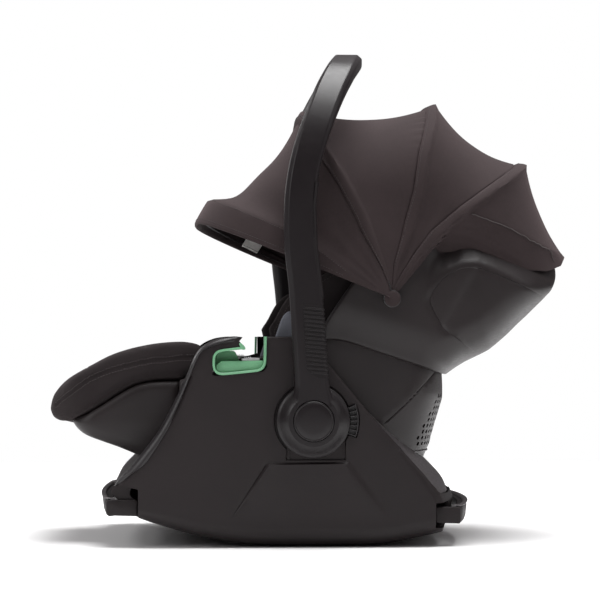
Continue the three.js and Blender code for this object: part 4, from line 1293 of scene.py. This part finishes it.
def wings():
    front = curve([(-68, 232), (-60, 252), (-50, 268), (-38, 290), (-25, 303)], 5)
    top = curve([(12, 326), (60, 345), (120, 358), (190, 358), (236, 348)], 6)
    wing = np.vstack([front, top, [(262, 326), (230, 300), (150, 240), (70, 175), (28, 161), (-30, 173),
                                   (-64, 206)]])
    insert = rounded([(-60, 208), (-46, 250), (-39, 271), (-31, 279), (-25, 279), (-18, 262), (-22, 216)],
                     6)
    for side, name in SIDES:
        line = rounded(hold_in(wing, 151), 10)
        form = prism(line, side * 128, side * 144, 6, 4)
        pad = soft(f"wing_pad_{name}", form, KNIT, "seat", "seat_fabric", (f"side_wing_{name}",),
                   4.0, 3.0, 0.7)
        edge = [(x, side * 145, z) for x, z in hold_in(np.vstack([front, top]), 148)]
        edge = [(x + 4, y, z - 5) for x, y, z in edge]
        furrow(pad, edge, 1.8, 1.2)
        ride_all("seat", "seat_fabric", stitches(f"wing_stitch_{name}", pad,
                                                 np.array(edge) + (2, 0, -2.5)))
        form = prism(insert, side * 148, side * 160, 5, 4)
        soft(f"insert_pad_{name}", form, INSERT, "seat", "insert_fabric", (f"insert_wing_{name}",),
             3.0, 2.5, 0.8)


wings()


def headrest():
    mid = rounded([back_point(*q) for q in ((134, 14), (225, 14), (221, 24), (138, 26))], 4)
    parts = [prism(mid, -92, 92, 4, 3)]
    cheek = rounded([back_point(*q) for q in ((134, 14), (225, 14), (213, 71), (196, 75), (156, 74))], 12)
    for side in (-1, 1):
        parts.append(prism(cheek, side * 84, side * 104, 7, 4))
    pad = obj_of("headrest_cover", *parts[0], KNIT)
    for part in parts[1:]:
        boolean(pad, part, "UNION")
    inflate(pad, 4.5, 4.0, 3.5)
    place(pad, "headrest", "seat_fabric", "headrest_pad")
    rows = []
    for side in (-1, 1):
        line = [(back_point(a, 28)[0], side * 78, back_point(a, 28)[1]) for a in np.linspace(136, 222, 24)]
        furrow(pad, line, 2.2, 1.8)
        rows.append(stitches(f"headrest_stitch_{len(rows)}", pad, np.array(line) - (0, side * 3, 0)))
    ride_all("headrest", "seat_fabric", *rows)


headrest()


# ---------------------------------------------------------------- harness and small hard parts
def soften(node, finish, body, slot, width):
    """A copy of a CAD piece with its edges rounded."""
    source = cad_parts[node]
    made = bpy.data.objects.new(f"{node}_moulded", source.data.copy())
    bpy.context.scene.collection.objects.link(made)
    bm = bmesh.new()
    bm.from_mesh(made.data)
    bmesh.ops.remove_doubles(bm, verts=bm.verts, dist=1e-5)
    bmesh.ops.dissolve_limit(bm, angle_limit=math.radians(1), verts=bm.verts, edges=bm.edges)
    bmesh.ops.recalc_face_normals(bm, faces=bm.faces)
    bm.to_mesh(made.data)
    bm.free()
    made.data.materials.clear()
    made.data.materials.append(finish)
    bevel(made, width)
    return place(made, body, slot, node)


for node, finish, body, slot, width in (
    ("harness_buckle", TRIM, "seat", "handle_plastic", 2.0),
    ("buckle_button", RED, "buckle_button", "buckle_red", 0.9),
    ("adjuster_housing", TRIM, "seat", "shell_plastic", 1.0),
    ("adjuster_button", HANDLE, "adjuster_button", "handle_plastic", 1.0),
    ("release_handle", TRIM, "release_handle", "handle_plastic", 1.2),
    ("headrest_board", SHELL, "headrest", "shell_plastic", 1.0),
    ("crotch_strap", WEB, "seat", "webbing", 0.3),
    ("handle_bolt_right", STEEL, "base", "steel", 0.6),
    ("handle_bolt_left", STEEL, "base", "steel", 0.6),
):
    soften(node, finish, body, slot, width)


def at_buckle(a, b):
    t = math.radians(-62)
    return (-12 + a * math.cos(t) - b * math.sin(t), 152 + a * math.sin(t) + b * math.cos(t))


def harness():
    line = curve([at_buckle(-8, 27), (26, 154), (66, 164), back_point(62, 9), back_point(124, 8)], 3)
    n = normals(line, closed=False)
    for side, name in SIDES:
        strip = np.vstack([line, (line + n * 1.6)[::-1]])
        web = obj_of(f"shoulder_web_{name}", *prism(strip, side * 6.2, side * 30.8, 0.5, 2), WEB, 50)
        place(web, "seat", "webbing", f"shoulder_strap_{name}")
        chest = [(62, 168.2), back_point(60, 13.4), back_point(106, 13.2), back_point(104, 18),
                 back_point(58, 19), (60, 172)]
        form = prism(rounded(chest, 3), side * 5, side * 33, 2, 3)
        pad = soft(f"chest_pad_{name}", form, INSERT, "seat", "insert_fabric",
                   (f"shoulder_pad_{name}",), 2.2, 1.4, 0.6, 2.0)
        edge = [(x, side * 30, z) for x, z in curve([back_point(60, 20), back_point(104, 20)], 5)]
        ride_all("seat", "insert_fabric", stitches(f"chest_stitch_{name}", pad, edge))
    crotch = [at_buckle(*q) for q in ((10, -13), (12.6, -13), (12.6, 21), (10, 21))]
    soft("crotch_pad_cover", prism(rounded(crotch, 1), -21, 21, 1, 2), INSERT, "seat", "insert_fabric",
         ("crotch_pad",), 1.8, 1.0, 0.5, 2.0)


harness()


# ---------------------------------------------------------------- folding canopy
BOW_NAMES = ("rear", "middle", "front", "visor")
# angles of the rear edge, the rear, middle and front bows, the band seam and the front edge
LINES = (15.0, 43.4, 75.3, 113.4, 149.8, 157.2)
CREST = (231.0, 239.0, 246.4, 249.1, 245.0, 247.0)     # radius of the cloth over each of them
HALF = (182.9, 184.2, 187.2, 190.2, 192.2, 192.6)      # half width of the cloth at each of them
SAG = (16.5, 24.5, 26.0, 31.0, 0.0)                    # dip of the cloth between them
# how far each of them swings aside, by distance from the pivot
LEAN = (
    [(0, 0), (300, 0)],
    [(10, 7), (24, 10), (60, 14), (93, 15.4), (136, 12.6), (188, 5.6), (225, 0)],
    [(10, 2), (40, 3.5), (65, 0), (87, -2.4), (128, -3.4), (174, 1), (225, 0)],
    [(10, -3), (40, -7.7), (103, -9.5), (152, -5.8), (198, 0), (225, 0)],
    [(10, 0), (50, 0.2), (95, -6.8), (150, -8.1), (225, -1), (245, 0)],
    [(10, 0), (300, 0)],
)
REAR_EDGE = [(20, 50), (45, 47.5), (73, 43.4), (97, 35.4), (116, 28), (135, 21.5), (177, 12.2), (209, 10),
             (226, 11), (232, 13), (240, 15)]
SKIRT_SEAM = [(186, 392), (204, 386), (230, 378), (256, 367), (283, 357), (305, 350), (322, 344)]
CASING = 11.0                                          # width of the sewn casing over a bow


def line_angle(k, r):
    """Angle of seam k about the pivot, at a distance from it."""
    if k == 0:
        return np.interp(r, *zip(*REAR_EDGE))
    swing = np.interp(r, *zip(*LEAN[k]))
    return LINES[k] + np.degrees(swing / np.maximum(r, 10))


def beside(k, r, gap):
    """The same, moved round by a distance, which shrinks towards the pivot."""
    return line_angle(k, r) + np.degrees(gap * np.minimum(1, r / 90) / np.maximum(r, 10))


def arch():
    """Half of the arch as (share of the side, corner angle, share of the top)."""
    half = [(u, 0, 0) for u in np.linspace(0, 1, 21)[:-1]]
    half += [(1, a, 0) for a in np.linspace(0, math.pi / 2, 37)[:-1]]
    half += [(1, math.pi / 2, u) for u in np.linspace(0, 1, 13)]
    half = np.array(half)
    return np.r_[-np.ones(len(half)), np.ones(len(half) - 1)], np.vstack([half, half[:-1][::-1]])


ARCH_SIDE, ARCH = arch()
CREASES = [(random.uniform(35, 160), random.uniform(0, 6.28), random.uniform(0.5, 1.0)) for _ in range(9)]


def arch_at(angle):
    """Radius, offset across and normal of the stretched cloth at an angle, for every place along the arch."""
    crest = np.interp(angle, LINES, CREST)
    half = np.interp(angle, LINES, HALF)
    corner = 118.0
    u, a, w = ARCH.T
    r = 3 + (crest - corner - 3) * u + corner * np.sin(a)
    y = -(half - corner + corner * np.cos(a)) + (half - corner) * w
    r = r + 3.0 * w * (2 - w)
    nr = np.sin(a)
    ny = -np.cos(a)
    return r, y * -ARCH_SIDE, nr, ny * -ARCH_SIDE


def ripple(r, along, angle):
    """Tension folds that run out of the pivot, and small unevenness."""
    fade = ramp(r, 14, 45) * (1 - ramp(r, 70, 150))
    folds = sum(h * np.exp(-((angle - a) / 3.2) ** 2) for a, _, h in CREASES)
    soft = sum(np.sin(along / (23 + 9 * k) + angle / (7 + 3 * k) + p)
               for k, (_, p, _) in enumerate(CREASES[:4]))
    return 1.5 * fade * folds + 0.22 * soft


def cloth_at(angle, lift=0.0):
    """Points of the canopy surface, for one angle per place along the arch."""
    r, y, nr, ny = arch_at(angle)
    along = np.r_[0, np.cumsum(np.hypot(np.diff(r), np.diff(y)))]
    marks = np.array([line_angle(k, r) for k in range(6)])
    push = np.zeros(len(r))
    side_share = np.interp(angle, (30, 50), (0.09, 0.2))
    share = side_share + (1 - side_share) * nr ** 1.5
    for k, deep in enumerate(SAG):
        s = np.clip((angle - marks[k]) / np.maximum(marks[k + 1] - marks[k], 1), 0, 1)
        power = np.where((s > 0.5) & (k == 3), 5.0, 2.2)
        push -= deep * (1 - np.abs(2 * s - 1) ** power) * share * ramp(r, 25, 120)
    scale = np.minimum(1, np.maximum(r, 10) / 90)
    for k in (1, 2, 3):
        d = np.radians(angle - marks[k]) * r / scale
        t = np.clip(1 - ((d - CASING / 2 + 1) / (CASING / 2 + 1)) ** 2, 0, 1)
        push += (3.4 * np.sqrt(t) * scale) - 0.8 * np.exp(-((d - CASING) / 1.3) ** 2)
        if k == 2:
            pucker = np.sin(along / 2.1 + 2.2 * np.sin(along / 23)) * (0.6 + 0.4 * np.sin(along / 31))
            pucker *= np.exp(-np.clip(d - CASING, 0, 99) / 7) * (d > CASING)
            push += 1.8 * pucker * ramp(r, 50, 90)
    d = np.radians(angle - marks[4]) * r
    push += (1.1 * np.clip(d / 1.2, 0, 1) - 0.8 * np.exp(-(d / 1.3) ** 2)) * ramp(r, 40, 90)
    push += ripple(r, along, angle)
    x = HOOD[0] + r * np.cos(np.radians(angle))
    z = HOOD[1] + r * np.sin(np.radians(angle))
    below = np.interp(x, *zip(*SKIRT_SEAM)) - z
    near_rear = (angle < 50) & (np.abs(y) > 75)
    folds = sum(h * np.exp(-((below - a - 0.12 * (x - 190)) / 3.4) ** 2)
                for a, h in ((11, 1.7), (21, 2.2), (32, 1.5)))
    folds *= ramp(x, 140, 180) * (1 - ramp(x, 225, 270))
    tuck = np.clip(below, 0, 45) * 0.48 - 1.0 * np.exp(-(below / 1.6) ** 2) - folds * (below > 0)
    tuck = np.where(near_rear, tuck, 0) * ramp(np.abs(y), 75, 120)
    push -= tuck
    r = r + nr * (push + lift)
    y = y + ny * (push + lift)
    return np.column_stack([HOOD[0] + r * np.cos(np.radians(angle)), y,
                            HOOD[1] + r * np.sin(np.radians(angle))])


def drape(obj, i):
    """Works out where the two bows that hold a piece of cloth stand, but only bakes its placement into its
    mesh.
    """
    ends = [(HOOD[0] + 140 * math.cos(math.radians(a)), 0, HOOD[1] + 140 * math.sin(math.radians(a)))
            for a in (LINES[i], LINES[i + 1] if i < 3 else LINES[5])]
    [v * MM for v in ends[0]]
    [v * MM for v in ends[1]]
    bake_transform(obj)


def panel_row(i, s):
    """Angles of one row of panel i, where s runs from 0 at its rear edge to 1 at its front edge."""
    r = arch_at(np.full(len(ARCH), (LINES[i] + LINES[i + 1]) / 2))[0]
    start = line_angle(0, r) if i == 0 else beside(i, r, CASING - 0.6)
    end = beside(i + 1, r, CASING) if i < 3 else line_angle(5, r)
    return start + (end - start) * s


def panel(i):
    steps = 40 if i < 3 else 52
    u = np.linspace(0, 1, steps + 1)
    share = u - 0.11 * np.sin(2 * math.pi * u)
    rows = []
    for k, s in enumerate(share):
        lift = -1.5 * (1 - ramp(np.array(float(k)), 0, 3)) if i else 0.0
        if k == steps and i < 3:
            lift = -0.9
        rows.append(cloth_at(panel_row(i, s), float(lift)))
    if i == 3:
        # the hem turns in over the front bow
        inward = ramp(arch_at(np.full(len(ARCH), LINES[5]))[0], 5, 60)
        for angle, lift in ((157.7, -0.9), (157.8, -3.2), (157.3, -5.2), (156.4, -6.0), (154.6, -6.2),
                            (152.6, -5.8),
                            (152.2, -4.4)):
            rows.append(cloth_at(np.full(len(ARCH), angle), lift * inward))
    pts = np.vstack(rows)
    count = len(ARCH)
    faces = [(a * count + b, a * count + b + 1, (a + 1) * count + b + 1, (a + 1) * count + b)
             for a in range(len(rows) - 1) for b in range(count - 1)]
    cloth = obj_of(f"canopy_cloth_{BOW_NAMES[i]}", pts, faces, CANOPY, 60)
    # the inner faces take the cloth painted lighter, as painted light against the shade under the canopy
    cloth.data.materials.append(UNDERSIDE_PAINTED_LIGHTER)
    mod = cloth.modifiers.new("thick", "SOLIDIFY")
    mod.thickness = 1.2 * MM
    mod.offset = -1
    mod.material_offset = 1
    apply(cloth)
    shade(cloth, 50)
    return cloth


def seam_path(k, gap, low=40.0):
    """Points on the cloth along seam k, moved forward by a distance."""
    r = arch_at(np.full(len(ARCH), LINES[k]))[0]
    line = cloth_at(beside(k, r, gap))
    return line[r > low]


def pipe(name, path, radius, finish):
    return obj_of(name, *sweep(even(path, 4), circle(radius, 8), up=(0.3, 1, 0.2)), finish, 80)


PANEL_FLAT = ((0.80, 0.12, 0.070), (0.78, 0.12, 0.066), (0.80, 0.15, 0.083), (0.82, 0.17, 0.106))


def canopy():
    for i, name in enumerate(BOW_NAMES):
        cloth = panel(i)
        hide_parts(f"canopy_panel_{name}")
        rows = []
        if i < 3:
            rows.append(stitches(f"canopy_stitch_{name}", cloth, seam_path(i + 1, CASING - 2.2), 3.4, 2.1,
                                 0.36, 0.15))
        else:
            rows.append(stitches("canopy_stitch_hem", cloth, seam_path(5, -3.5, 60), 3.4, 2.1, 0.36, 0.15))
            rows.append(stitches("canopy_stitch_band", cloth, seam_path(4, 2.4, 60), 3.4, 2.1, 0.36, 0.15))
        if i == 0:
            for side in (-1, 1):
                tree = tree_of(cloth)
                line = curve(SKIRT_SEAM, 4)
                guess = [(x, side * (196 - 0.45 * max(0, math.hypot(x - HOOD[0], z - HOOD[1]) - 118)), z)
                         for x, z in line]
                spots = onto(tree, guess, 0.3)[0]
                rows.append(pipe(f"skirt_piping_{side + 1}", spots, 0.6, THREAD))
        for obj in [cloth] + rows:
            drape(obj, i)
        width, length, area = PANEL_FLAT[i]


def bow(i, name):
    """A flat sprung bow inside the casing, with an eye at each end."""
    r, y, nr, ny = arch_at(np.full(len(ARCH), LINES[i + 1] if i < 3 else 155.2))
    angle = beside(i + 1, r, 4.5) if i < 3 else np.full(len(r), 155.0)
    keep = r > 6
    deep = 2.6 if i < 3 else 3.4
    r, y, angle, nr, ny = (v[keep] for v in (r - deep * nr, y - deep * ny, angle, nr, ny))
    path = np.column_stack([HOOD[0] + r * np.cos(np.radians(angle)), y,
                            HOOD[1] + r * np.sin(np.radians(angle))])
    rod = obj_of(f"canopy_rod_{name}", *sweep(path, strip_section(5.0, 1.8) - (0, 0.9), up=(0.6, 0, 0.8)),
                 TRIM, 40)
    for side in (-1, 1):
        y0 = abs(y[0]) - 1.0
        eye = [(0, y0 - 0.9), (9.5, y0 - 0.9), (10, y0 - 0.5), (10, y0 + 0.4), (9.5, y0 + 0.8),
               (0, y0 + 0.8)]
        boolean(rod, lathe(eye, HOOD, side, 48), "UNION")
    shade(rod, 40)
    return place(rod, f"canopy_{name}", "bow_plastic", f"canopy_bow_{name}")


def canopy_pin(side, name):
    """Pin that the bows turn on, and the cloth tab that covers it."""
    profile = [(0, 178.4), (7.4, 178.4), (8, 179), (8, 179.4), (5, 179.6), (5, 190.6), (4.4, 191.2),
               (0, 191.2)]
    pin = obj_of(f"canopy_pin_{name}", *lathe(profile, HOOD, side, 48), STEEL, 40)
    place(pin, "seat", "steel", f"canopy_pivot_{name}")
    profile = [(0, 189.6), (8.4, 189.4), (9.2, 189.8), (9.4, 190.4), (8.6, 191.1), (6, 191.5), (0, 191.6)]
    tab = obj_of(f"pivot_tab_{name}", *lathe(profile, HOOD, side, 48), CANOPY, 50)
    place(tab, "canopy_visor", "canopy_fabric")


def label():
    """A small blank tag sewn inside the front hem."""
    r = arch_at(np.full(len(ARCH), 153.0))[0]
    far = ARCH_SIDE > 0
    rows = []
    for angle in np.linspace(151.4, 155.8, 5):
        line = cloth_at(np.full(len(ARCH), angle), -6.9)[far & (r > 163) & (r < 188)]
        rows.append(even(line, np.linalg.norm(line[-1] - line[0]) / 8)[:9])
    inner = np.array(rows)
    outer = inner + (0.15, 0.5, -0.35)
    made = obj_of("blank_label", *loft([np.vstack([a, b[::-1]]) for a, b in zip(inner, outer)]), TAG, 50)
    drape(made, 3)
    return made


for i, name in enumerate(BOW_NAMES):
    bow(i, name)
canopy()
for side, name in SIDES:
    canopy_pin(side, name)
label()


# ---------------------------------------------------------------- camera and light
def light(name, place_m, aim_m, size, power):
    data = bpy.data.lights.new(name, "AREA")
    data.shape = "RECTANGLE"
    data.size, data.size_y = size
    data.energy = power
    lamp = bpy.data.objects.new(name, data)
    lamp.location = place_m
    lamp.rotation_euler = (Vector(aim_m) - Vector(place_m)).to_track_quat("-Z", "Y").to_euler()
    bpy.context.scene.collection.objects.link(lamp)


def studio():
    floor = obj_of("floor", [(-2600, -3200, -0.2), (2600, -3200, -0.2), (2600, 1700, -0.2),
                             (-2600, 1700, -0.2)], [(0, 1, 2, 3)])
    white = Finish("pale_floor", Roughness=0.6, Specular_IOR_Level=0.2)
    white.set("Base Color", white.blend(white.noise(400, 2), (0.95, 0.95, 0.95), (0.98, 0.98, 0.98)))
    floor.data.materials.append(white.material)
    world = bpy.data.worlds.new("studio")
    bpy.context.scene.world = world
    world.use_nodes = True
    # a white backdrop that lights the part only softly
    tree = world.node_tree
    backdrop = tree.nodes["Background"]
    backdrop.inputs["Color"].default_value = (1, 1, 1, 1)
    glow = tree.nodes.new("ShaderNodeBackground")
    glow.inputs["Color"].default_value = (1.0, 0.93, 0.95, 1)
    glow.inputs["Strength"].default_value = 0.19
    rays = tree.nodes.new("ShaderNodeLightPath")
    either = tree.nodes.new("ShaderNodeMixShader")
    tree.links.new(rays.outputs["Is Camera Ray"], either.inputs[0])
    tree.links.new(glow.outputs[0], either.inputs[1])
    tree.links.new(backdrop.outputs[0], either.inputs[2])
    tree.links.new(either.outputs[0], tree.nodes["World Output"].inputs["Surface"])
    bpy.context.scene.view_settings.view_transform = "Standard"
    light("top", (0.3, -0.1, 2.5), (0, 0, 0.35), (2.2, 1.8), 128)
    light("front_left", (-2.4, -1.5, 1.6), (0, 0, 0.3), (1.2, 1.6), 25)
    light("back_left", (-1.8, 1.5, 1.3), (-0.1, 0, 0.35), (0.7, 1.6), 16)
    light("right", (2.3, -0.8, 1.6), (0.1, 0, 0.3), (1.0, 1.6), 7)
    data = bpy.data.cameras.new("camera")
    camera = bpy.data.objects.new("camera", data)
    data.lens = 140
    data.sensor_width = 36
    data.clip_end = 100
    camera.location = (-0.1524, -2.920, 0.246)
    camera.rotation_euler = (math.radians(90.93), 0, math.radians(-2.80))
    bpy.context.scene.collection.objects.link(camera)
    bpy.context.scene.camera = camera


studio()
